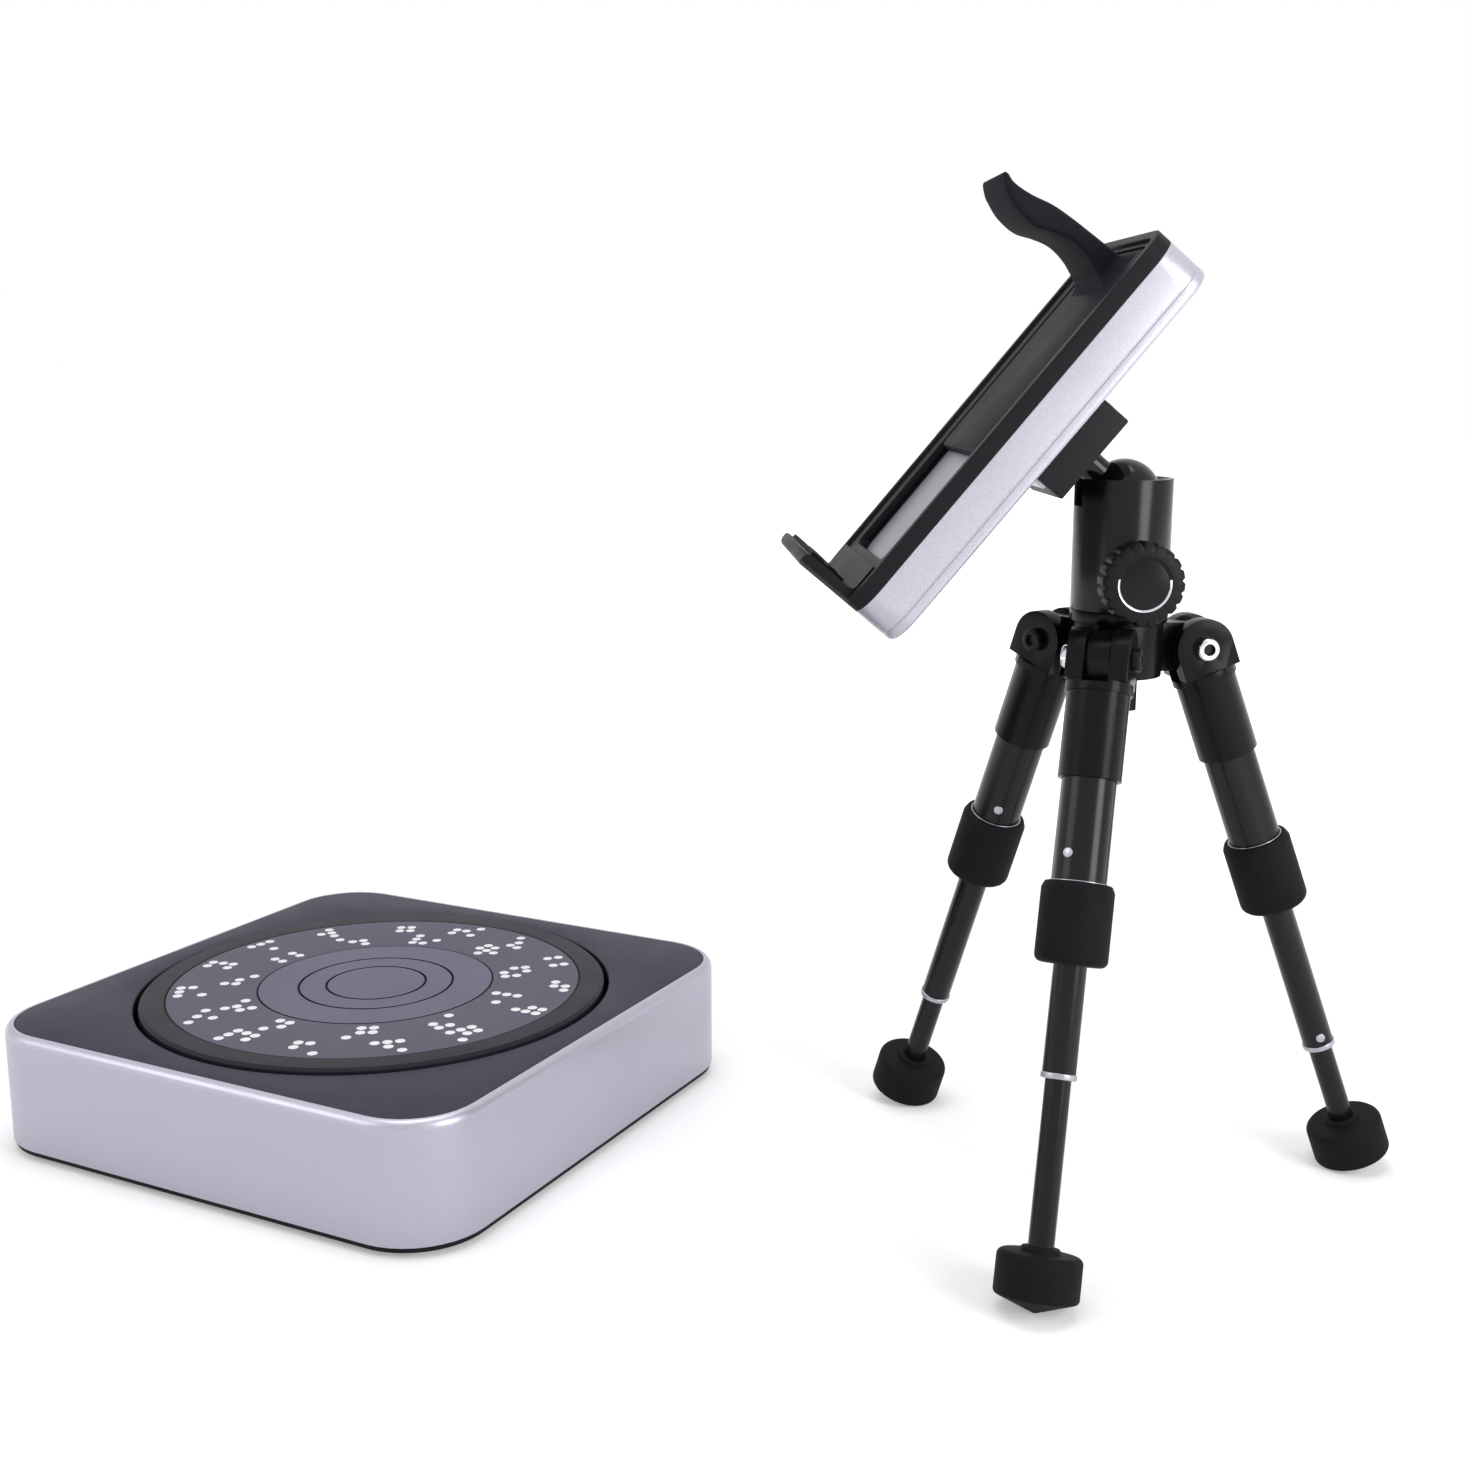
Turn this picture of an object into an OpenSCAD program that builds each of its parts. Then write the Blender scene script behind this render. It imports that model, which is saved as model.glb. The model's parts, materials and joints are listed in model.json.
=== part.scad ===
// Scanning set: a motor-driven turntable for the object that is scanned, and a table-top tripod
// whose ball head carries a cradle for a hand-held scanner.
// The origin is the middle of the turntable on the floor, with the turntable's front towards -Y.

/* [Turntable] */
// Side of the square turntable
tt_side = 190; // [180:1:220]
// Height of the top cover above the floor
tt_h = 43.5; // [42:0.5:54]
// Corner radius of the shell, seen from above
tt_corner = 25.5; // [24:0.5:32]
// Wall of the shell, which is also the width of its bright rim
tt_wall = 3; // [2.5:0.1:3.6]
// Thickness of the top cover
cover_t = 3; // [2.5:0.1:3.5]
// Height of the rubber feet
foot_h = 2.5; // [2:0.1:3.5]
// Radius of the rubber feet
foot_r = 8; // [6:0.5:10]
// Thickness of the base plate
base_t = 3.2; // [2.8:0.1:4]

/* [Platter] */
// Radius of the turning platter
platter_r = 81; // [74.5:0.1:83]
// Thickness of the platter
platter_t = 6; // [5:0.1:7]
// Height of the platter above the cover
platter_rise = 1.2; // [0.8:0.1:2]
// Gap between the platter and the cover
platter_gap = 1.7; // [1:0.1:2.4]
// Outer radius of the marker ring
marker_outer_r = 72.2; // [66:0.1:73]
// Inner radius of the marker ring
marker_inner_r = 41.1; // [38:0.1:47]
// Thickness of the marker ring
marker_t = 0.5; // [0.4:0.1:0.8]
// Radii of the two turned grooves round the centre
groove_radii = [27, 17.4];
// Width of a turned groove
groove_w = 0.9; // [0.6:0.1:1.2]

/* [Drive] */
// Radius of the platter spindle
spindle_r = 6; // [5:0.1:6.5]
// Outer radius of the spindle bearings
bearing_r = 12; // [11.5:0.1:13]
// Width of one spindle bearing
bearing_w = 6; // [5:0.1:7]
// Gear module
gear_module = 1.5; // [1.4:0.05:1.6]
// Teeth on the platter gear
gear_teeth = 60; // [60:12:72]
// Teeth on the motor pinion
pinion_teeth = 15; // [15:2:17]
// Width of the platter gear
gear_t = 5; // [4:0.1:5.5]
// Radius of the motor
motor_r = 14; // [12:0.5:15]
// Radius of the motor shaft
motor_shaft_r = 2; // [1.5:0.1:2.5]

/* [Electronics] */
// Width of the control board
board_w = 70; // [64:1:80]
// Depth of the control board
board_d = 34; // [30:1:38]
// Thickness of the control board
board_t = 1.6; // [1.2:0.1:2]
// Radius of the round power socket's barrel
jack_r = 4; // [3.6:0.1:4.4]
// Width and height of the square data socket
socket_size = [12, 10.8];

/* [Tripod] */
// Place of the tripod's axis on the floor
tripod_place = [248, 55];
// Direction of the first leg, seen from above
leg_azimuth = -84; // [-120:1:0]
// Distance of the leg hinges from the tripod's axis
hinge_r = 25; // [25:0.5:28]
// Spread of each leg from the vertical
leg_spread = 20.5; // [16:0.5:24]
// Length from the leg hinge to the tip of the foot
leg_len = 188; // [180:1:200]
// Radius of the crown's core
crown_r = 13.5; // [12:0.1:13.8]
// Thickness of the lug that carries a leg
lug_t = 7; // [6:0.1:8]
// Radius of the hinge bolts
bolt_r = 2; // [1.6:0.1:2.4]

/* [Leg] */
// Radius of the rounded knuckle
knuckle_r = 9; // [8.6:0.1:9.4]
// Width of the knuckle along its hinge
knuckle_w = 18; // [17:0.1:20]
// Radius of the sleeve below the knuckle
sleeve_r = 9.25; // [9.1:0.05:9.8]
// Distance from the hinge to the end of the sleeve
sleeve_end = 36.3; // [34:0.1:40]
// Radius of the upper tube
tube_r = 8; // [7.8:0.05:8.2]
// Wall of the upper tube
tube_wall = 1; // [0.8:0.1:1.2]
// Radius of the rubber twist grip
grip_r = 10.6; // [10.2:0.1:11.2]
// Distance from the hinge to the top of the grip
grip_start = 66.6; // [64:0.1:69]
// Length of the grip
grip_len = 23.6; // [22:0.1:25]
// Radius of the lower tube
lower_r = 4.85; // [4.6:0.05:5.1]
// Distance from the hinge to the end of the lower tube
lower_end = 122.8; // [121:0.1:126]
// How far the lower tube of each leg is drawn out beyond the front leg's
lower_draw = [0, 20, 20];
// Radius of the rod
rod_r = 3.75; // [3.5:0.05:3.85]
// Radius of the rubber foot disc
pad_r = 12.2; // [11:0.1:13]
// Height of the rubber foot disc's side
pad_h = 12.3; // [11:0.1:13]

/* [Ball head] */
// Radius of the head's round body
head_r = 14.7; // [14.3:0.1:15.2]
// Height of the ball's centre above the leg hinges
ball_above_hinge = 46.1; // [44:0.1:48]
// Height of the head's rim above the ball's centre
rim_above_ball = 5.2; // [4.6:0.1:5.4]
// Radius of the ball
ball_r = 11; // [10.6:0.1:11.2]
// Radius of the neck that leaves the ball
neck_r = 4.5; // [4:0.1:4.8]
// Height of the head's round body
head_h = 39.3; // [38.6:0.1:40.4]
// Radius of the lock knob
knob_r = 12.3; // [11:0.1:13]
// Length of the lock knob's wheel
knob_len = 9; // [8:0.1:10]
// Drop from the ball's centre to the lock knob's axis
knob_drop = 24; // [23.6:0.1:24.6]

/* [Cradle] */
// Direction that the cradle faces, seen from above
cradle_azimuth = 211; // [180:1:240]
// Angle that the cradle faces upwards
cradle_elevation = 40; // [30:1:50]
// Distance from the ball's centre to the back of the cradle
cradle_reach = 31.2; // [31:0.1:34]
// Width of the cradle
cradle_w = 75; // [73:1:80]
// Length of the cradle above the ball's stem
cradle_up = 56.5; // [56:0.1:60]
// Length of the cradle below the ball's stem
cradle_down = 77.8; // [76:0.1:82]
// Depth of the silver shell
shell_d = 13.8; // [13.4:0.1:16]
// Wall of the silver shell
shell_wall = 2.2; // [1.8:0.1:2.4]
// Corner radius of the cradle
cradle_corner = 9; // [7:0.5:10]
// Height of the black front frame
frame_h = 4.8; // [4.4:0.1:5.4]
// Height of the raised border on the frame
border_h = 1.2; // [0.8:0.1:1.4]
// Width of the raised border on the frame
border_w = 3; // [2.4:0.1:3.4]
// Half of the opening between the frame's rails
opening_half = 27; // [26:0.1:27.5]
// Distance from the frame's front to the tip of the lower lip
lip_len = 17.5; // [16:0.5:22]
// Thickness of the lower lip
lip_t = 4; // [3.5:0.1:4.5]
// Length of the travel of the upper jaw
jaw_travel = 35; // [30:1:36]
// Width of the hook on the upper jaw
hook_w = 32; // [26:1:40]
// Thickness of the inner deck that the upper jaw slides on
deck_t = 2; // [1.6:0.1:2.4]
// Width of the quick-release clamp
clamp_w = 38; // [37:0.5:40]
// Length of the quick-release clamp
clamp_len = 29.3; // [27:0.1:31]
// Depth of the quick-release clamp with its plate
clamp_h = 13.4; // [13:0.1:13.6]

/* [Hidden] */
// Running clearance round a shaft, and between flat faces that slide on each other
fit = 0.05;
// Clearance between pieces that only pass by each other
gap = 0.3;
// Overshoot of a cutting shape past the face that it cuts
cut = 1;
$fn = 64;

// Levels of the turntable, from the floor upwards
foot_seat = 0.7;
base_inset = 0.8;
base_z = foot_h - foot_seat;
base_top = base_z + base_t;
shell_z = base_z + 1.7;
platter_top = tt_h + platter_rise;
platter_z = platter_top - platter_t;
hub_h = 3.2;
hub_r = 20;
gear_z = platter_z - hub_h - gear_t;
collar_h = 3;
collar_r = spindle_r + 2;
housing_top = gear_z - collar_h;
housing_r = bearing_r + 3.5;
flange_r = 26;
flange_h = 3;
inner_ring_r = spindle_r + 2.8;
outer_ring_r = bearing_r - 2.4;
spindle_bore_depth = 2;
cover_hole_r = platter_r + platter_gap;
cover_border = 4;
cover_slack = 0.15;
// The shell takes its stated side, or more where the platter and the cover's border need it
case_side = max(tt_side, 2 * (cover_hole_r + cover_border + cover_slack + tt_wall));
cover_side = case_side - 2 * (tt_wall + cover_slack);
post_r = 5;
post_at = case_side / 2 - tt_corner + (tt_corner - tt_wall - 3.5) / sqrt(2);
foot_inset = 16;
foot_at = post_at - foot_inset;
case_screw_r = 1.5;
case_screw_grip = 1.5;
case_head_r = 3;
case_head_h = 1.8;
chamfer = 1;

// Gears
pitch_big = gear_module * gear_teeth / 2;
pitch_small = gear_module * pinion_teeth / 2;
motor_angle = 132;
motor_place = (pitch_big + pitch_small) * [cos(motor_angle), sin(motor_angle)];
motor_top = housing_top;
shaft_top = gear_z + gear_t + 1;
pressure_angle = 20;
tooth_backlash = 0.25;
tooth_head = 0.85;
tooth_foot = 1.15;

// Electronics
standoff_h = 4;
standoff_r = 3;
board_z = base_top + standoff_h;
board_y = case_side / 2 - tt_wall - 5 - board_d;
board_x = -10;
board_hole_inset = 4;
small_screw_r = 1.25;
small_head_r = 2.5;
small_head_h = 1.6;
jack_x = board_x + 0.8 * board_w;
socket_x = board_x + 0.35 * board_w;
connector_depth = 14;
connector_face = case_side / 2 - 0.5;
jack_block = [9, 11];
jack_z = board_z + board_t + jack_block[1] / 2;
jack_bore_r = jack_r - 1.2;
jack_pin_r = 0.9;
socket_wall = 1.2;
socket_tongue = [5.6, 3.2];
socket_mouth_depth = 9;
ear_reach = motor_r + 3.5;
ear_t = 2;
ear_r = 4;
shaft_z = base_top + ear_t + 2;

// Tripod
hinge_z = leg_len * cos(leg_spread);
ball_at = [tripod_place[0], tripod_place[1], hinge_z + ball_above_hinge];
head_top = ball_at[2] + rim_above_ball;
head_z = head_top - head_h;
pan_h = 4;
pan_top = head_z - fit;
pan_z = pan_top - pan_h;
pan_spigot_r = 6;
pan_spigot_h = 6;
crown_drop = 8.5;
crown_z = hinge_z - crown_drop;
lug_end_r = 7.5;
slot_depth = 8.6;
stop_angle = 50;
stop_reach = (slot_depth - fit) / cos(stop_angle - leg_spread);
column_r = 6.8;
column_len = 11;
bolt_head_r = 3.5;
bolt_head_h = 2.8;

// Leg, measured along its axis from the hinge
collar_end = 10.9;
collar_out_r = sleeve_r + 0.7;
socket_start = 13;
tube_end = grip_start + grip_len - 6.2;
tube_bore_r = tube_r - tube_wall;
lower_start = 40;
bush_len = 6;
bush_r = tube_bore_r - fit - 0.03;
lower_bore_r = rod_r + fit;
end_ring_r = lower_r + 0.35;
end_ring_len = 1.8;
rod_start = 95;
pad_cone_h = pad_r * tan(leg_spread);
pad_start = leg_len - pad_cone_h - pad_h;
rod_in_pad = 6;

// Ball head
neck_start = 8;
neck_flange_r = 9;
neck_flange_h = 1.6;
clamp_back = cradle_reach - clamp_h;
stud_r = 3;
stud_len = 3.6;
notch_w = 2 * neck_r + 1.4;
notch_drop = 3;
swing_low = 40;
seat_r = 7.5;
seat_h = 5;
ball_gap = 0.1;
knob_axis_z = ball_at[2] - knob_drop;
boss_r = 8;
boss_end = head_r + 0.6;
knob_neck_r = 6;
knob_neck_len = 3;
knob_start = boss_end + gap;
knob_flutes = 20;
flute_r = 1.1;
lock_r = 2.5;
lock_start = 2.5;

// Cradle, in its own frame: X across, Y up the plate, Z out of its front, from the back of the shell
cradle_len = cradle_up + cradle_down;
cradle_mid = (cradle_up - cradle_down) / 2;
frame_top = shell_d + frame_h;
rail_top = frame_top - border_h;
top_bar = 4.5;
opening_top = cradle_up - top_bar;
bottom_bar = 15.8;
opening_bottom = -cradle_down + bottom_bar;
opening_corner = 3;
deck_z = shell_d - deck_t;
panel_z = shell_d + fit;
panel_h = rail_top - 0.4 - panel_z;
jaw_stop_gap = 2;
panel_bottom = opening_bottom + opening_corner + jaw_stop_gap + jaw_travel;
groove_depth = 2;
groove_h = 1.6;
panel_half = opening_half - gap;
panel_top_y = opening_top - gap;
screw_inset = 7.5;
screw_x = cradle_w / 2 - screw_inset;
screw_ends = [-cradle_down + screw_inset, cradle_up - screw_inset];
screw_post_r = 3.6;
screw_bite = 2.4;
boss_thread_r = 3.175;
boss_wall = 4;
boss_h = 8;
plate_half = 15;
plate_neck_half = 13;
channel_z = -clamp_h + 5.2;
jaw_z = -0.6;
plate_len = clamp_len + 1.5;
plate_screw_r = 3.1;
plate_head_r = 5;
plate_head_h = 3;
clamp_screw_r = 1.9;
clamp_screw_z = -clamp_h + 2.6;
jaw_leg_t = 4.7;
jaw_len = clamp_len - 6;
clamp_knob_r = 8;
clamp_knob_len = 8;
clamp_open = 1.4;
clamp_knob_x = -clamp_w / 2 - gap - jaw_leg_t - clamp_open - gap;
clamp_y = -0.25;
lip_pad_t = 1.2;
lip_pad_h = 12;
lip_pad_inset = 5;
lip_pad_drop = 2;
lip_foot = 13;
lip_foot_h = 1.6;
lip_inset = 4.5;
lip_half = cradle_w / 2 - lip_inset;

// Outline of the hook: height above the rail, lower side, upper side
hook_stations = [
    [-2, 38.6, 47.6],
    [3, 39.6, 47.5],
    [9, 41.4, 47.2],
    [15, 41.8, 46.8],
    [20, 40.4, 46.4],
    [26, 37.9, 45.6],
    [33, 37.9, 43.7],
    [39, 39.8, 43.0],
    [42.6, 42.2, 43.8]
];
hook_steps = 4;

// Shared shapes
module rounded_rect(w, d, r) {
    square([w - 2 * r, d], center = true);
    square([w, d - 2 * r], center = true);
    for (sx = [-1, 1], sy = [-1, 1])
        translate([sx * (w / 2 - r), sy * (d / 2 - r)]) circle(r);
}

module ring(outer_r, inner_r, z0, z1) {
    translate([0, 0, z0]) difference() {
        cylinder(r = outer_r, h = z1 - z0);
        translate([0, 0, -cut]) cylinder(r = inner_r, h = z1 - z0 + 2 * cut);
    }
}

module at_corners(reach) {
    for (sx = [-1, 1], sy = [-1, 1])
        translate([sx * reach, sy * reach, 0]) children();
}

// Involute gear: the flank's half angle at a radius, then the outline tooth by tooth
function turn_of(r, base) = let (t = sqrt(max(0, pow(r / base, 2) - 1))) t * 180 / PI - atan(t);
function polar(r, a) = r * [cos(a), sin(a)];
function gear_outline(teeth) =
    let (pitch = gear_module * teeth / 2,
         base = pitch * cos(pressure_angle),
         root = pitch - tooth_foot * gear_module,
         tip = pitch + tooth_head * gear_module,
         slack = tooth_backlash / pitch * 90 / PI,
         half_base = 90 / teeth - slack + turn_of(pitch, base),
         radii = [root, max(base, root + 0.1), pitch, tip])
    [for (k = [0 : teeth - 1]) each concat(
        [for (r = radii) polar(r, 360 * k / teeth - half_base + turn_of(r, base))],
        [for (i = [3 : -1 : 0]) polar(radii[i], 360 * k / teeth + half_base - turn_of(radii[i], base))])];

// Turntable case
module base_plate() {
    color("#22232a") difference() {
        union() {
            translate([0, 0, base_z]) linear_extrude(shell_z - base_z)
                rounded_rect(case_side - 2 * base_inset, case_side - 2 * base_inset, tt_corner - base_inset);
            translate([0, 0, base_z]) linear_extrude(base_t)
                rounded_rect(cover_side, cover_side, tt_corner - tt_wall);
            for (p = board_holes()) translate([p[0], p[1], base_top - fit])
                cylinder(r = standoff_r, h = standoff_h + fit);
        }
        at_corners(post_at) translate([0, 0, base_z - cut]) {
            cylinder(r = case_screw_r + fit, h = base_t + 2 * cut);
            cylinder(r = case_head_r + fit, h = case_head_h + cut);
        }
        at_corners(foot_at) translate([0, 0, base_z - cut]) cylinder(r = foot_r + fit, h = foot_seat + cut);
        translate([0, 0, base_top - 0.6]) cylinder(r = inner_ring_r + 0.5, h = cut);
        for (p = concat(housing_holes(), motor_holes())) translate([p[0], p[1], base_z + 0.8])
            cylinder(r = small_screw_r, h = base_t + cut);
        for (p = board_holes()) translate([p[0], p[1], base_z + 0.8])
            cylinder(r = small_screw_r, h = base_t + standoff_h + cut);
    }
}

function housing_holes() = [for (a = [30 : 120 : 270]) polar((housing_r + flange_r) / 2 + 0.4, a)];
function motor_holes() = [for (s = [-1, 1]) motor_place + polar(ear_reach, motor_angle + s * 90)];
function board_holes() = [for (sx = [0, 1], sy = [0, 1])
    [board_x + (sx == 0 ? board_hole_inset : board_w - board_hole_inset),
     board_y + (sy == 0 ? board_hole_inset : board_d - 2.2 * board_hole_inset)]];

module turntable_shell() {
    color("#b9b9c4") difference() {
        union() {
            translate([0, 0, shell_z]) linear_extrude(tt_h - shell_z) difference() {
                rounded_rect(case_side, case_side, tt_corner);
                rounded_rect(case_side - 2 * tt_wall, case_side - 2 * tt_wall, tt_corner - tt_wall);
            }
            at_corners(post_at) translate([0, 0, base_top])
                cylinder(r = post_r, h = tt_h - cover_t - base_top);
        }
        at_corners(post_at) translate([0, 0, base_top - cut])
            cylinder(r = case_screw_r + fit, h = tt_h - base_top + 2 * cut);
        translate([jack_x, case_side / 2 + cut, jack_z]) rotate([90, 0, 0])
            cylinder(r = jack_r + gap, h = tt_wall + 2 * cut);
        translate([socket_x - socket_size[0] / 2 - gap, case_side / 2 - tt_wall - cut,
            board_z + board_t - gap])
            cube([socket_size[0] + 2 * gap, tt_wall + 2 * cut, socket_size[1] + 2 * gap]);
    }
}

module top_cover() {
    color("#474752") difference() {
        translate([0, 0, tt_h - cover_t]) linear_extrude(cover_t) difference() {
            rounded_rect(cover_side, cover_side, tt_corner - tt_wall);
            circle(cover_hole_r, $fn = 128);
        }
        at_corners(post_at) translate([0, 0, tt_h - cover_t - cut])
            cylinder(r = case_screw_r, h = case_screw_grip + cut);
    }
}

module turntable_feet() {
    color("#18181a") at_corners(foot_at) cylinder(r = foot_r, h = foot_h);
}

module case_screws() {
    color("#8c8c90") at_corners(post_at) translate([0, 0, base_z]) {
        cylinder(r = case_head_r, h = case_head_h);
        cylinder(r = case_screw_r, h = tt_h - cover_t + case_screw_grip - base_z);
    }
}

// Turntable drive
module bearing_housing() {
    color("#9a9ca2") difference() {
        union() {
            ring(flange_r, bearing_r, base_top, base_top + flange_h);
            ring(housing_r, bearing_r, base_top, housing_top);
            ring(bearing_r + fit, outer_ring_r + 0.6, base_top + bearing_w, housing_top - bearing_w);
        }
        for (p = housing_holes()) translate([p[0], p[1], base_top - cut])
            cylinder(r = small_screw_r + fit, h = flange_h + 2 * cut);
    }
}

module at_bearings() {
    translate([0, 0, base_top]) children();
    translate([0, 0, housing_top - bearing_w]) children();
}

module bearing_outer_rings() {
    color("#c8c8cc") at_bearings() ring(bearing_r, outer_ring_r, 0, bearing_w);
}

module bearing_inner_rings() {
    color("#d2d2d6") at_bearings() ring(inner_ring_r, spindle_r, 0, bearing_w);
}

module spindle() {
    color("#c2c3c8") {
        translate([0, 0, base_top + fit])
            cylinder(r = spindle_r, h = platter_z + spindle_bore_depth - base_top - fit);
        translate([0, 0, housing_top]) cylinder(r = collar_r, h = collar_h);
    }
}

module platter_gear() {
    color("#e4e0d2") translate([0, 0, gear_z]) difference() {
        linear_extrude(gear_t) polygon(gear_outline(gear_teeth));
        translate([0, 0, -cut]) cylinder(r = spindle_r, h = gear_t + 2 * cut);
    }
}

module platter() {
    color("#50505c") difference() {
        union() {
            translate([0, 0, platter_z]) cylinder(r = platter_r, h = platter_t - chamfer, $fn = 128);
            translate([0, 0, platter_top - chamfer])
                cylinder(r1 = platter_r, r2 = platter_r - chamfer, h = chamfer, $fn = 128);
            translate([0, 0, platter_z - hub_h]) cylinder(r = hub_r, h = hub_h + fit);
        }
        translate([0, 0, platter_z - hub_h - cut])
            cylinder(r = spindle_r, h = hub_h + spindle_bore_depth + cut);
        ring(marker_outer_r, marker_inner_r, platter_top - marker_t, platter_top + cut);
        for (r = groove_radii)
            ring(r + groove_w / 2, r - groove_w / 2, platter_top - groove_w / 2, platter_top + cut);
    }
}

module marker_ring() {
    color("#6a6a74") ring(marker_outer_r, marker_inner_r, platter_top - marker_t, platter_top);
}

module at_motor() {
    translate([motor_place[0], motor_place[1], 0]) rotate([0, 0, motor_angle]) children();
}

module drive_motor() {
    color("#a7a9ad") at_motor() difference() {
        union() {
            translate([0, 0, base_top + ear_t]) cylinder(r = motor_r, h = motor_top - base_top - ear_t);
            translate([0, 0, base_top]) linear_extrude(ear_t) {
                circle(motor_r);
                square([2 * ear_r, 2 * ear_reach], center = true);
                for (s = [-1, 1]) translate([0, s * ear_reach]) circle(ear_r);
            }
        }
        translate([0, 0, shaft_z - fit]) cylinder(r = motor_shaft_r + fit, h = motor_top - shaft_z + cut);
        for (s = [-1, 1]) translate([0, s * ear_reach, base_top - cut])
            cylinder(r = small_screw_r + fit, h = ear_t + 2 * cut);
    }
}

module motor_shaft() {
    color("#d0d0d4") at_motor() translate([0, 0, shaft_z])
        cylinder(r = motor_shaft_r, h = shaft_top - shaft_z);
}

module motor_pinion() {
    color("#c9a24a") at_motor() translate([0, 0, gear_z - 0.5]) difference() {
        rotate([0, 0, 180 + 180 / pinion_teeth]) linear_extrude(gear_t + 1)
            polygon(gear_outline(pinion_teeth));
        translate([0, 0, -cut]) cylinder(r = motor_shaft_r, h = gear_t + 1 + 2 * cut);
    }
}

module small_screw(seat, depth) {
    translate([0, 0, seat]) cylinder(r = small_head_r, h = small_head_h);
    translate([0, 0, seat - depth]) cylinder(r = small_screw_r, h = depth + fit);
}

module chassis_screws() {
    screw_depth = 2;
    color("#8c8c90") {
        for (p = housing_holes()) translate([p[0], p[1], 0])
            small_screw(base_top + flange_h, flange_h + screw_depth);
        for (p = motor_holes()) translate([p[0], p[1], 0]) small_screw(base_top + ear_t, ear_t + screw_depth);
        for (p = board_holes()) translate([p[0], p[1], 0])
            small_screw(board_z + board_t, board_t + screw_depth);
    }
}

module control_board() {
    color("#1f5c3a") difference() {
        translate([board_x, board_y, board_z]) cube([board_w, board_d, board_t]);
        for (p = board_holes()) translate([p[0], p[1], board_z - cut])
            cylinder(r = small_screw_r + fit, h = board_t + 2 * cut);
    }
}

module dc_jack() {
    back = case_side / 2 - tt_wall - gap;
    color("#1a1a1c") translate([jack_x, 0, jack_z]) {
        difference() {
            union() {
                translate([-jack_block[0] / 2, back - connector_depth, -jack_block[1] / 2])
                    cube([jack_block[0], connector_depth, jack_block[1]]);
                translate([0, connector_face, 0]) rotate([90, 0, 0])
                    cylinder(r = jack_r, h = connector_face - back + cut);
            }
            translate([0, connector_face + cut, 0]) rotate([90, 0, 0])
                cylinder(r = jack_bore_r, h = socket_mouth_depth + cut);
        }
        translate([0, connector_face - cut, 0]) rotate([90, 0, 0])
            cylinder(r = jack_pin_r, h = socket_mouth_depth);
    }
}

module data_socket() {
    depth = connector_depth + 2;
    mouth = [socket_size[0] - 2 * socket_wall, socket_size[1] - 2 * socket_wall];
    color("#b4b6bb") translate([socket_x, connector_face - depth, board_z + board_t]) {
        difference() {
            translate([-socket_size[0] / 2, 0, 0]) cube([socket_size[0], depth, socket_size[1]]);
            translate([-mouth[0] / 2, depth - socket_mouth_depth, socket_wall])
                cube([mouth[0], socket_mouth_depth + cut, mouth[1]]);
        }
        translate([-socket_tongue[0] / 2, depth - socket_mouth_depth - cut,
            (socket_size[1] - socket_tongue[1]) / 2])
            cube([socket_tongue[0], socket_mouth_depth, socket_tongue[1]]);
    }
}

// Tripod crown
module on_tripod(z) {
    translate([tripod_place[0], tripod_place[1], z]) children();
}

module at_hinges() {
    on_tripod(hinge_z) for (k = [0 : 2])
        rotate([0, 0, leg_azimuth + 120 * k]) translate([hinge_r, 0, 0]) children();
}

// Side view of a lug: a round end, a web to the core and the nose that stops the leg's spread
module lug_side() {
    circle(lug_end_r);
    translate([-hinge_r, -lug_end_r]) square([hinge_r, 2 * lug_end_r]);
    polygon([[0, 0], polar(lug_end_r, -70), polar(stop_reach, stop_angle - 90), polar(lug_end_r, -5)]);
}

module crown() {
    color("#1b1c1f") difference() {
        union() {
            on_tripod(crown_z) cylinder(r = crown_r, h = pan_z - crown_z);
            at_hinges() rotate([90, 0, 0]) translate([0, 0, -lug_t / 2]) linear_extrude(lug_t) lug_side();
        }
        at_hinges() rotate([90, 0, 0]) translate([0, 0, -lug_t]) cylinder(r = bolt_r, h = 2 * lug_t);
    }
}

module centre_column() {
    color("#17181a") on_tripod(crown_z - column_len) cylinder(r = column_r, h = column_len, $fn = 6);
}

module pivot_bolts() {
    half = knuckle_w / 2 + fit;
    color("#d8d9dd") at_hinges() rotate([90, 0, 0]) {
        translate([0, 0, -half - bolt_head_h]) cylinder(r = bolt_head_r, h = bolt_head_h);
        translate([0, 0, -half]) cylinder(r = bolt_r, h = 2 * half);
        translate([0, 0, half]) cylinder(r = bolt_head_r, h = bolt_head_h);
    }
}

module pan_base() {
    color("#1d1e21") {
        on_tripod(pan_z) cylinder(r = head_r, h = pan_h);
        on_tripod(pan_z) cylinder(r = pan_spigot_r, h = pan_h + pan_spigot_h);
    }
}

// Ball head
module on_head(z) {
    on_tripod(z) rotate([0, 0, cradle_azimuth]) children();
}

// The rim is bevelled so far that the neck can lie down to swing_low above the horizon on every side
function bevel_r(z) = (z * cos(swing_low) + neck_r + gap / 2) / sin(swing_low);

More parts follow.
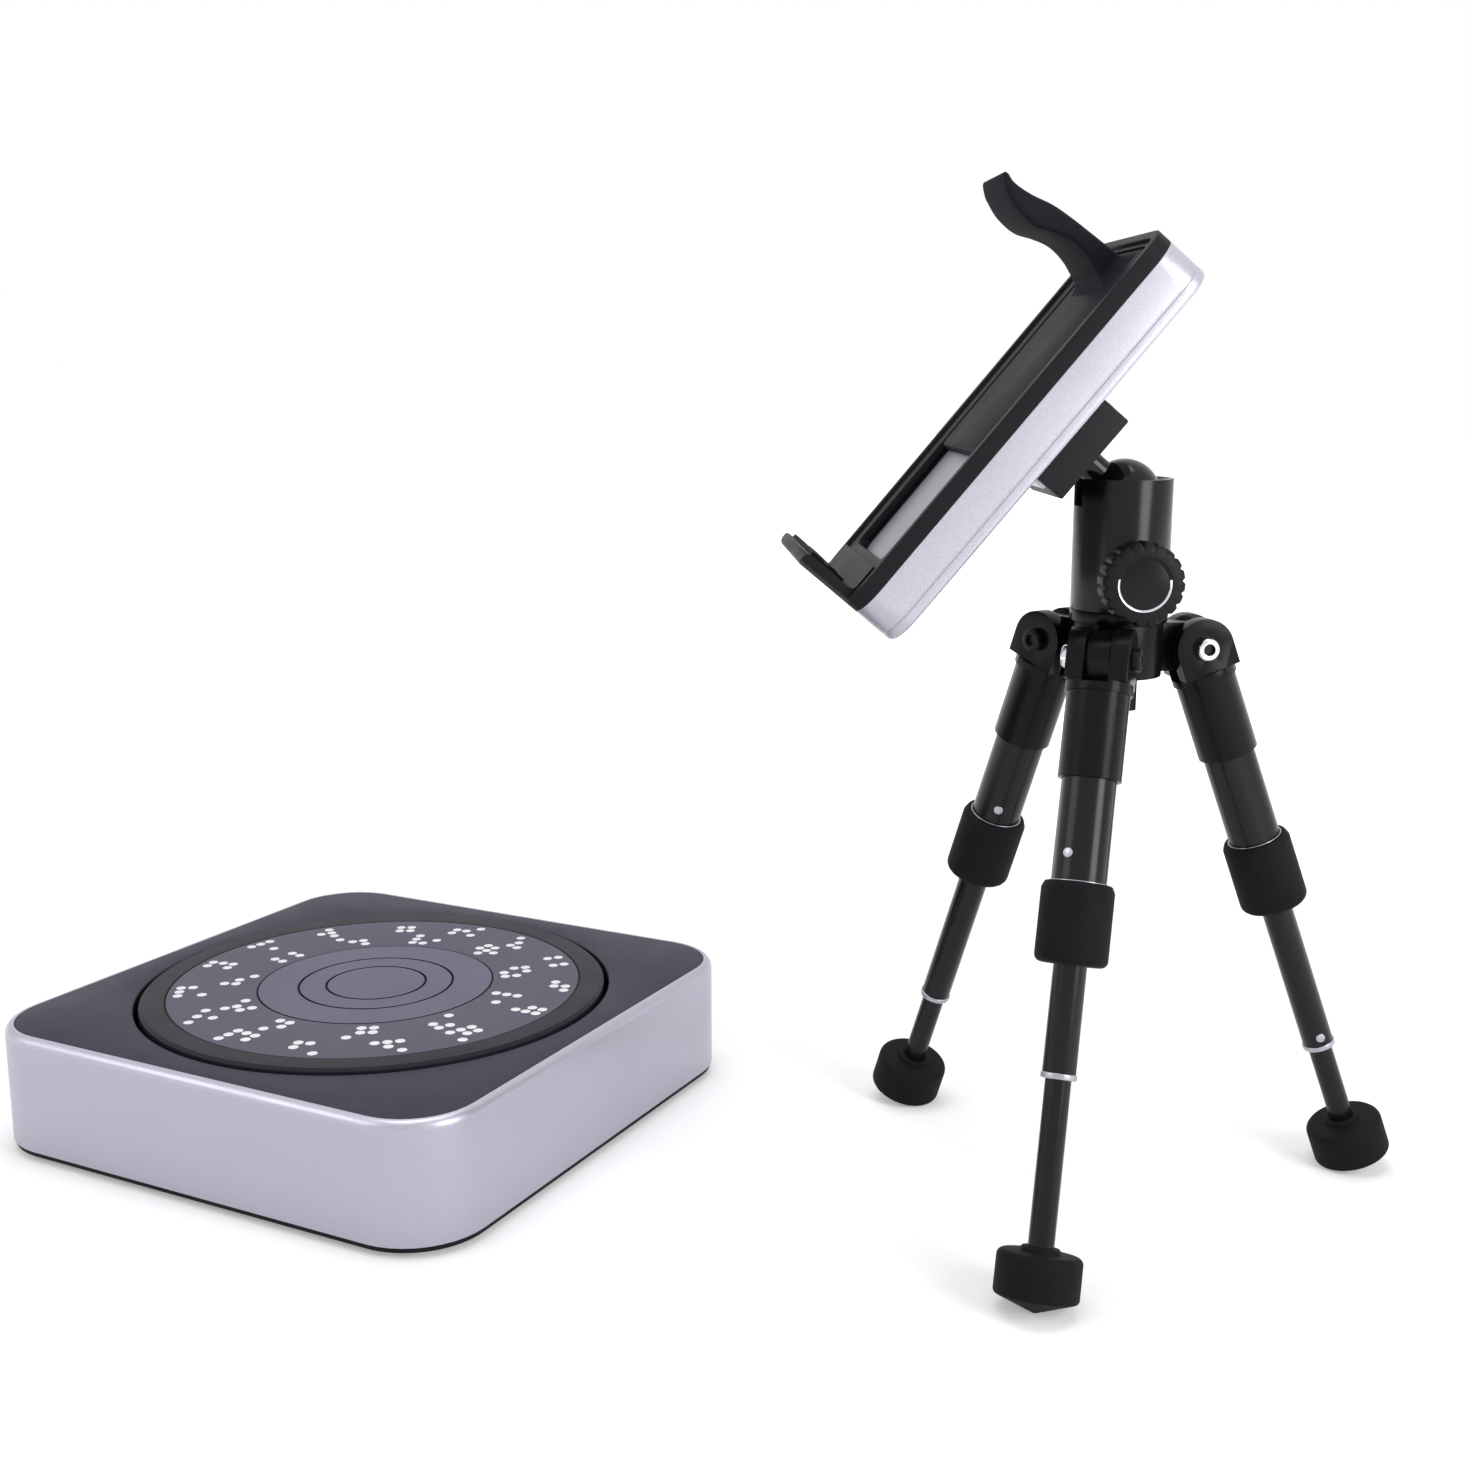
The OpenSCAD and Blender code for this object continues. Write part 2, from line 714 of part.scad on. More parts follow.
module head_body() {
    color("#1b1c1f") difference() {
        union() {
            on_head(head_z) cylinder(r = head_r, h = head_h);
            on_head(knob_axis_z) rotate([-90, 0, 0]) cylinder(r = boss_r, h = boss_end);
        }
        translate(ball_at) sphere(ball_r + ball_gap, $fn = 96);
        on_head(ball_at[2] + notch_drop - cut)
            cylinder(r1 = bevel_r(notch_drop - cut), r2 = bevel_r(rim_above_ball + cut),
                h = rim_above_ball - notch_drop + 2 * cut);
        on_head(head_z - cut) cylinder(r = pan_spigot_r + fit, h = pan_spigot_h + cut + fit);
        on_head(ball_at[2] - notch_drop) translate([0, -notch_w / 2, 0])
            cube([head_r + cut, notch_w, notch_drop + rim_above_ball + cut]);
        on_head(ball_at[2] - ball_r - seat_h + 3) cylinder(r = seat_r, h = seat_h);
        on_head(knob_axis_z) rotate([-90, 0, 0]) translate([0, 0, lock_start - gap])
            cylinder(r = lock_r + fit, h = boss_end + cut);
    }
}

module ball_seat() {
    color("#e8e6df") difference() {
        on_head(ball_at[2] - ball_r - seat_h + 3) cylinder(r = seat_r, h = seat_h);
        translate(ball_at) sphere(ball_r + ball_gap, $fn = 96);
    }
}

module lock_knob() {
    color("#202124") on_head(knob_axis_z) rotate([-90, 0, 0]) difference() {
        union() {
            translate([0, 0, knob_start]) cylinder(r = knob_neck_r, h = knob_neck_len);
            translate([0, 0, knob_start + knob_neck_len - fit]) cylinder(r = knob_r, h = knob_len);
        }
        for (k = [0 : knob_flutes - 1]) rotate([0, 0, 360 * k / knob_flutes])
            translate([knob_r + flute_r / 2, 0, knob_start + knob_neck_len - cut])
                cylinder(r = flute_r, h = knob_len + 2 * cut, $fn = 24);
        translate([0, 0, knob_start - cut]) cylinder(r = lock_r, h = knob_len + cut);
    }
}

module lock_screw() {
    color("#b8b9bd") on_head(knob_axis_z) rotate([-90, 0, 0]) translate([0, 0, lock_start])
        cylinder(r = lock_r, h = knob_start + knob_len - lock_start);
}

module in_cradle() {
    translate(ball_at) rotate([0, 0, cradle_azimuth]) rotate([0, 90 - cradle_elevation, 0])
        rotate([0, 0, 90]) children();
}

module ball_stem() {
    color("#1a1b1e") in_cradle() {
        sphere(ball_r, $fn = 96);
        translate([0, 0, neck_start]) cylinder(r = neck_r, h = clamp_back - neck_start);
        translate([0, 0, clamp_back - neck_flange_h]) cylinder(r = neck_flange_r, h = neck_flange_h);
        translate([0, 0, clamp_back - fit]) cylinder(r = stud_r, h = stud_len + fit);
    }
}

// Quick-release clamp and plate
module on_cradle() {
    in_cradle() translate([0, 0, cradle_reach]) children();
}

// Extrudes a side view, drawn across and out of the front, along the length of the cradle
module along_cradle(len) {
    translate([0, clamp_y + len / 2, 0]) rotate([90, 0, 0]) linear_extrude(len) children();
}

module clamp_body() {
    color("#1c1d20") on_cradle() difference() {
        along_cradle(clamp_len) {
            translate([-clamp_w / 2, -clamp_h + fit]) square([clamp_w, channel_z + clamp_h - fit]);
            polygon([[plate_half + fit, channel_z], [clamp_w / 2, channel_z], [clamp_w / 2, jaw_z],
                     [plate_neck_half + fit, jaw_z]]);
        }
        translate([0, 0, -clamp_h - cut]) cylinder(r = stud_r + fit, h = stud_len + cut + fit);
        translate([-clamp_w / 2 - cut, 0, clamp_screw_z]) rotate([0, 90, 0])
            cylinder(r = clamp_screw_r + fit, h = clamp_w / 2 - stud_r - 2 * cut);
    }
}

module clamp_jaw() {
    leg_x = -clamp_w / 2 - gap;
    color("#26272a") on_cradle() difference() {
        along_cradle(jaw_len) {
            translate([leg_x - jaw_leg_t, -clamp_h]) square([jaw_leg_t, jaw_z + clamp_h]);
            polygon([[leg_x - 1, channel_z + fit], [-plate_half - fit, channel_z + fit],
                     [-plate_neck_half - fit, jaw_z], [leg_x - 1, jaw_z]]);
        }
        translate([leg_x - jaw_leg_t - cut, 0, clamp_screw_z]) rotate([0, 90, 0])
            cylinder(r = clamp_screw_r + fit, h = jaw_leg_t + 2 * cut);
    }
}

module clamp_screw() {
    color("#b8b9bd") on_cradle() translate([clamp_knob_x - clamp_knob_len / 2, 0, clamp_screw_z])
        rotate([0, 90, 0])
        cylinder(r = clamp_screw_r, h = clamp_knob_len / 2 - clamp_knob_x - stud_r - 3 * cut);
}

module clamp_knob() {
    color("#202124") on_cradle() translate([clamp_knob_x - clamp_knob_len, 0, clamp_screw_z])
        rotate([0, 90, 0])
        difference() {
            cylinder(r = clamp_knob_r, h = clamp_knob_len);
            translate([0, 0, clamp_knob_len / 2]) cylinder(r = clamp_screw_r, h = clamp_knob_len);
        }
}

module release_plate() {
    color("#b9babf") on_cradle() difference() {
        along_cradle(plate_len) {
            polygon([[-plate_half, channel_z + fit], [plate_half, channel_z + fit],
                     [plate_neck_half, jaw_z], [-plate_neck_half, jaw_z]]);
            translate([-plate_neck_half, jaw_z - fit]) square([2 * plate_neck_half, fit - jaw_z]);
        }
        translate([0, 0, channel_z - cut]) cylinder(r = plate_screw_r + fit, h = clamp_h);
        translate([0, 0, channel_z - cut]) cylinder(r = plate_head_r + fit, h = plate_head_h + cut + gap);
    }
}

module plate_screw() {
    color("#9a9ba0") on_cradle() {
        translate([0, 0, channel_z + gap]) cylinder(r = plate_head_r, h = plate_head_h);
        translate([0, 0, channel_z + gap])
            cylinder(r = plate_screw_r, h = shell_wall + boss_h - channel_z - gap - cut);
    }
}

// Cradle
module at_cradle_screws() {
    for (x = [-screw_x, screw_x], y = screw_ends) translate([x, y, 0]) children();
}

module cradle_outline(inset) {
    translate([0, cradle_mid])
        rounded_rect(cradle_w - 2 * inset, cradle_len - 2 * inset, cradle_corner - inset);
}

module cradle_opening() {
    translate([0, (opening_top + opening_bottom) / 2])
        rounded_rect(2 * opening_half, opening_top - opening_bottom, opening_corner);
}

module cradle_shell() {
    color("#d0cfd8") on_cradle() difference() {
        union() {
            linear_extrude(shell_wall) cradle_outline(0);
            linear_extrude(shell_d) difference() {
                cradle_outline(0);
                cradle_outline(shell_wall);
            }
            cylinder(r = boss_thread_r + boss_wall, h = shell_wall + boss_h);
            at_cradle_screws() cylinder(r = screw_post_r, h = deck_z);
        }
        translate([0, 0, -cut]) cylinder(r = boss_thread_r, h = shell_wall + boss_h + 2 * cut);
        at_cradle_screws() translate([0, 0, -cut]) {
            cylinder(r = small_screw_r + fit, h = shell_d + 2 * cut);
            cylinder(r = small_head_r + fit, h = small_head_h + cut);
        }
    }
}

module inner_deck() {
    color("#bcbcc6") on_cradle() difference() {
        translate([0, 0, deck_z]) linear_extrude(deck_t) cradle_outline(shell_wall + fit);
        at_cradle_screws() translate([0, 0, deck_z - cut])
            cylinder(r = small_screw_r + fit, h = deck_t + 2 * cut);
    }
}

module cradle_frame() {
    color("#232428") on_cradle() difference() {
        union() {
            translate([0, 0, shell_d]) linear_extrude(rail_top - shell_d) cradle_outline(0);
            translate([0, 0, shell_d]) linear_extrude(frame_h) difference() {
                cradle_outline(0);
                cradle_outline(border_w);
            }
        }
        translate([0, 0, shell_d - cut]) linear_extrude(frame_h + 2 * cut) cradle_opening();
        translate([-opening_half - groove_depth, opening_bottom + opening_corner, shell_d - cut])
            cube([2 * (opening_half + groove_depth), opening_top - opening_bottom - 2 * opening_corner,
                groove_h + cut]);
        translate([-lip_half - fit, -cradle_down - cut, rail_top])
            cube([2 * (lip_half + fit), lip_foot + fit + cut, frame_h]);
        at_cradle_screws() translate([0, 0, shell_d - cut]) cylinder(r = small_screw_r, h = screw_bite + cut);
    }
}

module cradle_screws() {
    color("#6c6d72") on_cradle() at_cradle_screws() {
        cylinder(r = small_head_r, h = small_head_h);
        cylinder(r = small_screw_r, h = shell_d + screw_bite - fit);
    }
}

// Side views of the jaws are drawn up the plate and out of its front, and extruded across it
module across_cradle(width) {
    rotate([90, 0, 90]) translate([0, 0, -width / 2]) linear_extrude(width) children();
}

module lower_jaw() {
    color("#232428") on_cradle() intersection() {
        translate([0, 0, rail_top]) linear_extrude(lip_len + border_h) cradle_outline(0);
        across_cradle(2 * lip_half) {
            translate([-cradle_down - cut, rail_top]) square([lip_t + cut, lip_len + border_h]);
            translate([-cradle_down - cut, rail_top]) square([lip_foot + cut, lip_foot_h]);
        }
    }
}

module lower_pad() {
    color("#17171a") on_cradle() across_cradle(2 * (lip_half - lip_pad_inset))
        translate([lip_t - cradle_down, frame_top + lip_len - lip_pad_h - lip_pad_drop])
            square([lip_pad_t, lip_pad_h]);
}

// A smooth curve through the stations, four points at a time
function blend(a, b, c, d, t) =
    0.5 * (2 * b + (c - a) * t + (2 * a - 5 * b + 4 * c - d) * t * t + (3 * b - a - 3 * c + d) * t * t * t);
function hook_curve() =
    let (s = hook_stations, last = len(s) - 1)
    concat([for (i = [0 : last - 1], k = [0 : hook_steps - 1])
        blend(s[max(i - 1, 0)], s[i], s[i + 1], s[min(i + 2, last)], k / hook_steps)], [s[last]]);

module hook_side() {
    curve = hook_curve();
    last = len(curve) - 1;
    polygon(concat(
        [for (p = curve) [p[1], rail_top + p[0]]],
        [for (i = [last : -1 : 0]) [curve[i][2], rail_top + curve[i][0]]]));
}

module upper_jaw() {
    panel_len = panel_top_y - panel_bottom;
    flange_half = opening_half + groove_depth - gap;
    flange_len = panel_len - opening_corner;
    color("#1d1e21") on_cradle() {
        translate([0, panel_bottom + panel_len / 2, panel_z]) linear_extrude(panel_h)
            rounded_rect(2 * panel_half, panel_len, opening_corner);
        translate([-flange_half, panel_bottom, panel_z]) cube([2 * flange_half, flange_len, groove_h - gap]);
        across_cradle(hook_w) hook_side();
    }
}

// Legs: each piece is drawn with the leg's axis along Z, away from the hinge, then put in place
module on_leg(k) {
    on_tripod(hinge_z) rotate([0, 0, leg_azimuth + 120 * (k - 1)]) translate([hinge_r, 0, 0])
        rotate([0, 180 - leg_spread, 0]) children();
}

module knuckle(k) {
    color("#1b1c1f") on_leg(k) difference() {
        union() {
            rotate([90, 0, 0]) translate([0, 0, -knuckle_w / 2]) cylinder(r = knuckle_r, h = knuckle_w);
            translate([-knuckle_r, -knuckle_w / 2, 0]) cube([2 * knuckle_r, knuckle_w, collar_end - 3]);
            translate([0, 0, collar_end - 3 - fit]) cylinder(r = collar_out_r, h = 3 + fit);
            translate([0, 0, collar_end - fit]) cylinder(r = sleeve_r, h = sleeve_end - collar_end + fit);
        }
        translate([-2 * knuckle_r, -lug_t / 2 - gap, -2 * knuckle_r])
            cube([4 * knuckle_r, lug_t + 2 * gap, 2 * knuckle_r + slot_depth]);
        rotate([90, 0, 0]) translate([0, 0, -knuckle_w]) cylinder(r = bolt_r + fit, h = 2 * knuckle_w);
        translate([0, 0, socket_start]) cylinder(r = tube_r, h = sleeve_end);
    }
}

module tube(k) {
    color("#2a2b2f") on_leg(k) ring(tube_r, tube_bore_r, socket_start, tube_end);
}

module grip(k) {
    color("#17181a") on_leg(k) difference() {
        translate([0, 0, grip_start]) cylinder(r = grip_r, h = grip_len);
        translate([0, 0, grip_start - cut]) cylinder(r = tube_r + fit, h = tube_end + gap - grip_start + cut);
        translate([0, 0, grip_start]) cylinder(r = lower_r + fit, h = grip_len + cut);
    }
}

module lower_tube(k) {
    color("#2a2b2f") on_leg(k) translate([0, 0, lower_draw[k - 1]]) {
        ring(lower_r, lower_bore_r, lower_start, lower_end);
        ring(bush_r, lower_bore_r, lower_start, lower_start + bush_len);
        ring(end_ring_r, lower_bore_r, lower_end - end_ring_len, lower_end);
    }
}

module rod(k) {
    color("#303136") on_leg(k) translate([0, 0, rod_start])
        cylinder(r = rod_r, h = pad_start + rod_in_pad - rod_start);
}

module foot(k) {
    color("#18191b") on_leg(k) difference() {
        union() {
            translate([0, 0, pad_start]) cylinder(r = pad_r, h = pad_h);
            translate([0, 0, pad_start + pad_h]) cylinder(r1 = pad_r, r2 = 0, h = pad_cone_h);
        }
        translate([0, 0, pad_start - cut]) cylinder(r = rod_r, h = rod_in_pad + cut);
    }
}

base_plate();
turntable_shell();
top_cover();
turntable_feet();
case_screws();
bearing_housing();
bearing_outer_rings();
drive_motor();
chassis_screws();
control_board();
dc_jack();
data_socket();
platter();
marker_ring();
spindle();
bearing_inner_rings();
platter_gear();
motor_shaft();
motor_pinion();
crown();
centre_column();
pivot_bolts();
pan_base();
head_body();
ball_seat();
lock_knob();
lock_screw();
ball_stem();
clamp_body();
clamp_jaw();
clamp_screw();
clamp_knob();
release_plate();
plate_screw();
cradle_shell();
inner_deck();
cradle_frame();
cradle_screws();
lower_jaw();
lower_pad();
upper_jaw();
for (k = [1 : 3]) {
    knuckle(k);
    tube(k);
    grip(k);
    lower_tube(k);
    rod(k);
    foot(k);
}
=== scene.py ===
import json
import math
import random
import bmesh
import bpy
from mathutils import Matrix, Vector


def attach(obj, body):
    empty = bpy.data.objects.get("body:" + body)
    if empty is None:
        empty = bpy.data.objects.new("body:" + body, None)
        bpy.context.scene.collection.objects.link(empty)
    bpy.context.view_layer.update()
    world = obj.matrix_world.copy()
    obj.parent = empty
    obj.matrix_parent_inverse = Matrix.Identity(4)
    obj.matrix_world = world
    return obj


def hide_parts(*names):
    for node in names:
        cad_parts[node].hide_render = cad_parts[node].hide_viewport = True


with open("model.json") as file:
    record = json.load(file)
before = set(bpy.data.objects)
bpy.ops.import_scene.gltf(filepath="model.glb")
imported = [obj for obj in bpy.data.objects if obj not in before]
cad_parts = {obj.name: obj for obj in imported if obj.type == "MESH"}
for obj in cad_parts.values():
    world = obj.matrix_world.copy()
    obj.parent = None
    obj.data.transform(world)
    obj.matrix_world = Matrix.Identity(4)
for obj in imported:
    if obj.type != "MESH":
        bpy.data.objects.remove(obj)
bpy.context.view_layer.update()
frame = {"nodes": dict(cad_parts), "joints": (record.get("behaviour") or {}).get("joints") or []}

# Turntable shell: a square band of satin silver plastic with rounded corners and a soft top rim.
# It is moulded in one piece, with two holes in its back wall for the power and data sockets.
# Four screws from below pull it down onto the base plate.
MM = 0.001
case_place = Matrix.Scale(MM, 4)
case_side = 190.0
case_height = 43.5
case_corner = 25.5
case_wall = 3.0
case_foot = 3.5
noise_low = 0.3
noise_high = 0.7
cloud_scale = 55.0
least_rough = 0.03
weld_reach = 0.0005
soft_edge = 38
edge_share = 0.49


def paint(red, green, blue):
    """A colour as seen on the object, from screen values to light values."""
    levels = [v / 255 for v in (red, green, blue)]
    return [v / 12.92 if v <= 0.04045 else ((v + 0.055) / 1.055) ** 2.4 for v in levels] + [1.0]


def surface(name, colour, rough, grain=1600.0, mottle=0.10, relief=0.00001, metal=0.0, shine=0.5,
            wear=0.08):
    """A finish with fine grain in its colour and relief, and slow changes in its gloss."""
    look = bpy.data.materials.new(name)
    look.use_nodes = True
    nodes = look.node_tree.nodes
    link = look.node_tree.links.new
    shader = nodes["Principled BSDF"]
    shader.inputs["Metallic"].default_value = metal
    shader.inputs["Specular IOR Level"].default_value = shine
    where = nodes.new("ShaderNodeTexCoord")
    speck = nodes.new("ShaderNodeTexNoise")
    speck.inputs["Scale"].default_value = grain
    speck.inputs["Detail"].default_value = 3.0
    link(where.outputs["Object"], speck.inputs["Vector"])
    tone = nodes.new("ShaderNodeValToRGB")
    base = paint(*colour)
    tone.color_ramp.elements[0].position = noise_low
    tone.color_ramp.elements[1].position = noise_high
    tone.color_ramp.elements[0].color = [v * (1 - mottle) for v in base[:3]] + [1.0]
    tone.color_ramp.elements[1].color = [v * (1 + mottle) for v in base[:3]] + [1.0]
    link(speck.outputs["Fac"], tone.inputs["Fac"])
    link(tone.outputs["Color"], shader.inputs["Base Color"])
    cloud = nodes.new("ShaderNodeTexNoise")
    cloud.inputs["Scale"].default_value = cloud_scale
    cloud.inputs["Detail"].default_value = 5.0
    link(where.outputs["Object"], cloud.inputs["Vector"])
    gloss = nodes.new("ShaderNodeMapRange")
    gloss.inputs["From Min"].default_value = noise_low
    gloss.inputs["From Max"].default_value = noise_high
    gloss.inputs["To Min"].default_value = max(rough - wear / 2, least_rough)
    gloss.inputs["To Max"].default_value = rough + wear / 2
    link(cloud.outputs["Fac"], gloss.inputs["Value"])
    link(gloss.outputs["Result"], shader.inputs["Roughness"])
    bump = nodes.new("ShaderNodeBump")
    bump.inputs["Distance"].default_value = relief
    bump.inputs["Strength"].default_value = 1.0
    link(speck.outputs["Fac"], bump.inputs["Height"])
    link(bump.outputs["Normal"], shader.inputs["Normal"])
    return look


def made(name, form, place, finishes, body, nodes=(), crease=soft_edge):
    """A piece from its points and faces, set in its place and riding on its body."""
    points, faces, bands = form
    mesh = bpy.data.meshes.new(name)
    mesh.from_pydata(points, [], faces)
    mesh.polygons.foreach_set("material_index", bands)
    work = bmesh.new()
    work.from_mesh(mesh)
    bmesh.ops.remove_doubles(work, verts=work.verts, dist=weld_reach)
    bmesh.ops.recalc_face_normals(work, faces=work.faces)
    work.to_mesh(mesh)
    work.free()
    mesh.transform(place)
    for finish in finishes:
        mesh.materials.append(finish)
    mesh.shade_smooth()
    mesh.set_sharp_from_angle(angle=math.radians(crease))
    piece = bpy.data.objects.new(name, mesh)
    bpy.context.scene.collection.objects.link(piece)
    if body:
        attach(piece, body)
    if nodes:
        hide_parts(*nodes)
    return piece


def eased(corners, closed=True, steps=5):
    """A side view whose corners (across, up, radius) are rounded by arcs."""
    count = len(corners)
    line = []
    for i, (a, b, radius) in enumerate(corners):
        here = Vector((a, b))
        if radius <= 0 or (not closed and i in (0, count - 1)):
            line.append((a, b))
            continue
        back = Vector(corners[i - 1][:2]) - here
        on = Vector(corners[(i + 1) % count][:2]) - here
        half = math.acos(max(-1.0, min(1.0, back.normalized().dot(on.normalized())))) / 2
        reach = min(radius / math.tan(half), edge_share * back.length, edge_share * on.length)
        true = reach * math.tan(half)
        middle = here + (back.normalized() + on.normalized()).normalized() * (true / math.sin(half))
        first = here + back.normalized() * reach - middle
        last = here + on.normalized() * reach - middle
        sweep = math.atan2(first.x * last.y - first.y * last.x, first.dot(last))
        for k in range(steps + 1):
            turn = Matrix.Rotation(sweep * k / steps, 2)
            p = middle + turn @ first
            line.append((p.x, p.y))
    return line


def outline(width, depth, corner, z, middle=(0.0, 0.0), steps=10):
    """A level loop round a rectangle with round corners, seen from above."""
    loop = []
    for q in range(4):
        sx = 1 if q in (0, 3) else -1
        sy = 1 if q in (0, 1) else -1
        cx = middle[0] + sx * (width / 2 - corner)
        cy = middle[1] + sy * (depth / 2 - corner)
        for k in range(steps + 1):
            a = math.pi / 2 * (q + k / steps)
            loop.append((cx + corner * math.cos(a), cy + corner * math.sin(a), z))
    return loop


def skin(loops, wrap=False, caps=True, bands=None):
    """A closed surface over loops of equal count, joined end to end or capped."""
    count = len(loops[0])
    points = [p for loop in loops for p in loop]
    faces = []
    marks = []
    rows = len(loops) if wrap else len(loops) - 1
    for i in range(rows):
        j = (i + 1) % len(loops)
        for k in range(count):
            m = (k + 1) % count
            faces.append((i * count + k, i * count + m, j * count + m, j * count + k))
            marks.append(bands[i] if bands else 0)
    if caps and not wrap:
        faces.append(tuple(range(count)))
        faces.append(tuple((len(loops) - 1) * count + k for k in range(count)))
        marks += [bands[0] if bands else 0, bands[-1] if bands else 0]
    return points, faces, marks


def pierced(piece, cutters):
    """Cuts the cutters out of a piece and clears them away."""
    for cutter in cutters:
        hole = piece.modifiers.new(cutter.name, "BOOLEAN")
        hole.operation = "DIFFERENCE"
        hole.solver = "EXACT"
        hole.object = cutter
    bpy.context.view_layer.update()
    ready = piece.evaluated_get(bpy.context.evaluated_depsgraph_get())
    mesh = bpy.data.meshes.new_from_object(ready)
    piece.modifiers.clear()
    piece.data = mesh
    mesh.shade_smooth()
    mesh.set_sharp_from_angle(angle=math.radians(soft_edge))
    for cutter in cutters:
        bpy.data.objects.remove(cutter)


satin_silver = surface("satin_silver", (181, 180, 194), 0.36, grain=2600, mottle=0.06, relief=0.000006,
                       metal=0.75)
rim_in = 2.7
rim_drop = 3.2
rim_steps = 10
foot_ease = 0.35
shell_side = [(foot_ease, case_foot), (0.1, case_foot + 0.1), (0.0, case_foot + foot_ease)]
for k in range(rim_steps + 1):
    a = math.pi / 2 * k / rim_steps
    shell_side.append((rim_in * (1 - math.cos(a)), case_height - rim_drop * (1 - math.sin(a))))
shell_side += [(case_wall - 0.05, case_height - 0.05), (case_wall, case_height - 0.2),
               (case_wall, case_foot)]
shell_loops = [outline(case_side - 2 * inset, case_side - 2 * inset, case_corner - inset, z)
               for inset, z in shell_side]
turntable_shell = made("turntable_shell_band", skin(shell_loops, wrap=True), case_place, [satin_silver],
                       "turntable", ["turntable_shell"])
back_cut = (90.0, 97.0)
jack_at = (46.0, 16.1)
jack_r = 4.3
jack_steps = 48
jack_turns = [math.tau * k / jack_steps for k in range(jack_steps)]
jack_loops = [[(jack_at[0] + jack_r * math.cos(a), y, jack_at[1] + jack_r * math.sin(a)) for a in jack_turns]
              for y in back_cut]
jack_hole = made("jack_hole", skin(jack_loops), case_place, [satin_silver], None)
socket_side = eased([(8.2, 10.3, 0.6), (20.8, 10.3, 0.6), (20.8, 21.7, 0.6), (8.2, 21.7, 0.6)])
socket_loops = [[(x, y, z) for x, z in socket_side] for y in back_cut]
socket_hole = made("socket_hole", skin(socket_loops), case_place, [satin_silver], None)
pierced(turntable_shell, [jack_hole, socket_hole])

# Base plate, feet and case screws: a dark moulded tray with board posts closes the case from below.
# Four soft rubber feet are glued into round recesses in it.
# The screws are plain steel with flat heads, sunk beside the feet.


def dress(nodes, finish):
    """Gives pieces that keep their plain shape their finish."""
    for node in nodes:
        shape = frame["nodes"][node]
        shape.data.materials.clear()
        shape.data.materials.append(finish)


dress(["base_plate"], surface("tray_plastic", (22, 22, 26), 0.6, grain=2200, mottle=0.10, relief=0.00002,
                              shine=0.15))
soft_rubber = surface("soft_rubber", (20, 20, 22), 0.75, grain=1500, mottle=0.14, relief=0.00003,
                      shine=0.12)
dress(["turntable_feet"], soft_rubber)
bare_steel = surface("bare_steel", (176, 177, 181), 0.32, grain=1400, mottle=0.06, relief=0.000004,
                     metal=1.0)
dress(["case_screws", "chassis_screws", "spindle", "motor_shaft", "lock_screw", "clamp_screw"], bare_steel)

# Drive: a spindle in two shielded bearings, a moulded gear under the platter and a small motor.
# The housing is cast aluminium, the gear nylon and the pinion brass, all screwed to the tray.
# The control board carries the two sockets that look out of the back wall.
dress(["bearing_housing"], surface("cast_aluminium", (164, 166, 171), 0.5, grain=1100, mottle=0.10,
                                   relief=0.00003, metal=1.0))
dress(["bearing_outer_rings", "bearing_inner_rings"], surface(
    "ground_steel", (188, 189, 193), 0.18, grain=3000, mottle=0.03, relief=0.000002, metal=1.0))
dress(["drive_motor"], surface("zinc_can", (150, 152, 156), 0.38, grain=1300, mottle=0.10, relief=0.00001,
                               metal=1.0))
dress(["platter_gear"], surface("nylon", (226, 224, 214), 0.5, grain=900, mottle=0.04, relief=0.00001))
dress(["motor_pinion"], surface("brass", (196, 160, 84), 0.3, grain=1800, mottle=0.08, relief=0.000005,
                                metal=1.0))
dress(["control_board"], surface("board_lacquer", (34, 92, 58), 0.4, grain=1000, mottle=0.16,
                                 relief=0.00001))
dress(["dc_jack"], surface("socket_plastic", (24, 24, 27), 0.45, grain=2000, mottle=0.10, relief=0.00001))
dress(["data_socket"], surface("socket_plating", (190, 191, 195), 0.28, grain=1500, mottle=0.05,
                               relief=0.000003, metal=1.0))

# Top cover: a flat dark blue-grey panel let into the silver band, flush with its rim.
# It is moulded with a fine spark texture, and the wall of its round opening is painted near-black as painted
# shade in the gap to the platter.
# The case screws bite into it from below.
cover_side = 183.7
cover_corner = 22.5
cover_base = 40.5
opening_r = 82.7
cover_steps = 288


def square_reach(angle, half, corner):
    """How far a square with round corners reaches from its middle in one direction."""
    c = abs(math.cos(angle))
    s = abs(math.sin(angle))
    straight = half / max(c, s)
    inner = half - corner
    if min(c, s) * straight <= inner:
        return straight
    along = inner * (c + s)
    return along + math.sqrt(max(along * along - 2 * inner * inner + corner * corner, 0.0))


def square_loop(inset, z):
    """A loop round the cover's outer edge, one point for each direction."""
    loop = []
    for k in range(cover_steps):
        a = math.tau * k / cover_steps
        reach = square_reach(a, cover_side / 2 - inset, cover_corner - inset)
        loop.append((reach * math.cos(a), reach * math.sin(a), z))
    return loop


def ring_loop(radius, z, steps):
    """A level round loop."""
    return [(radius * math.cos(math.tau * k / steps), radius * math.sin(math.tau * k / steps), z)
            for k in range(steps)]


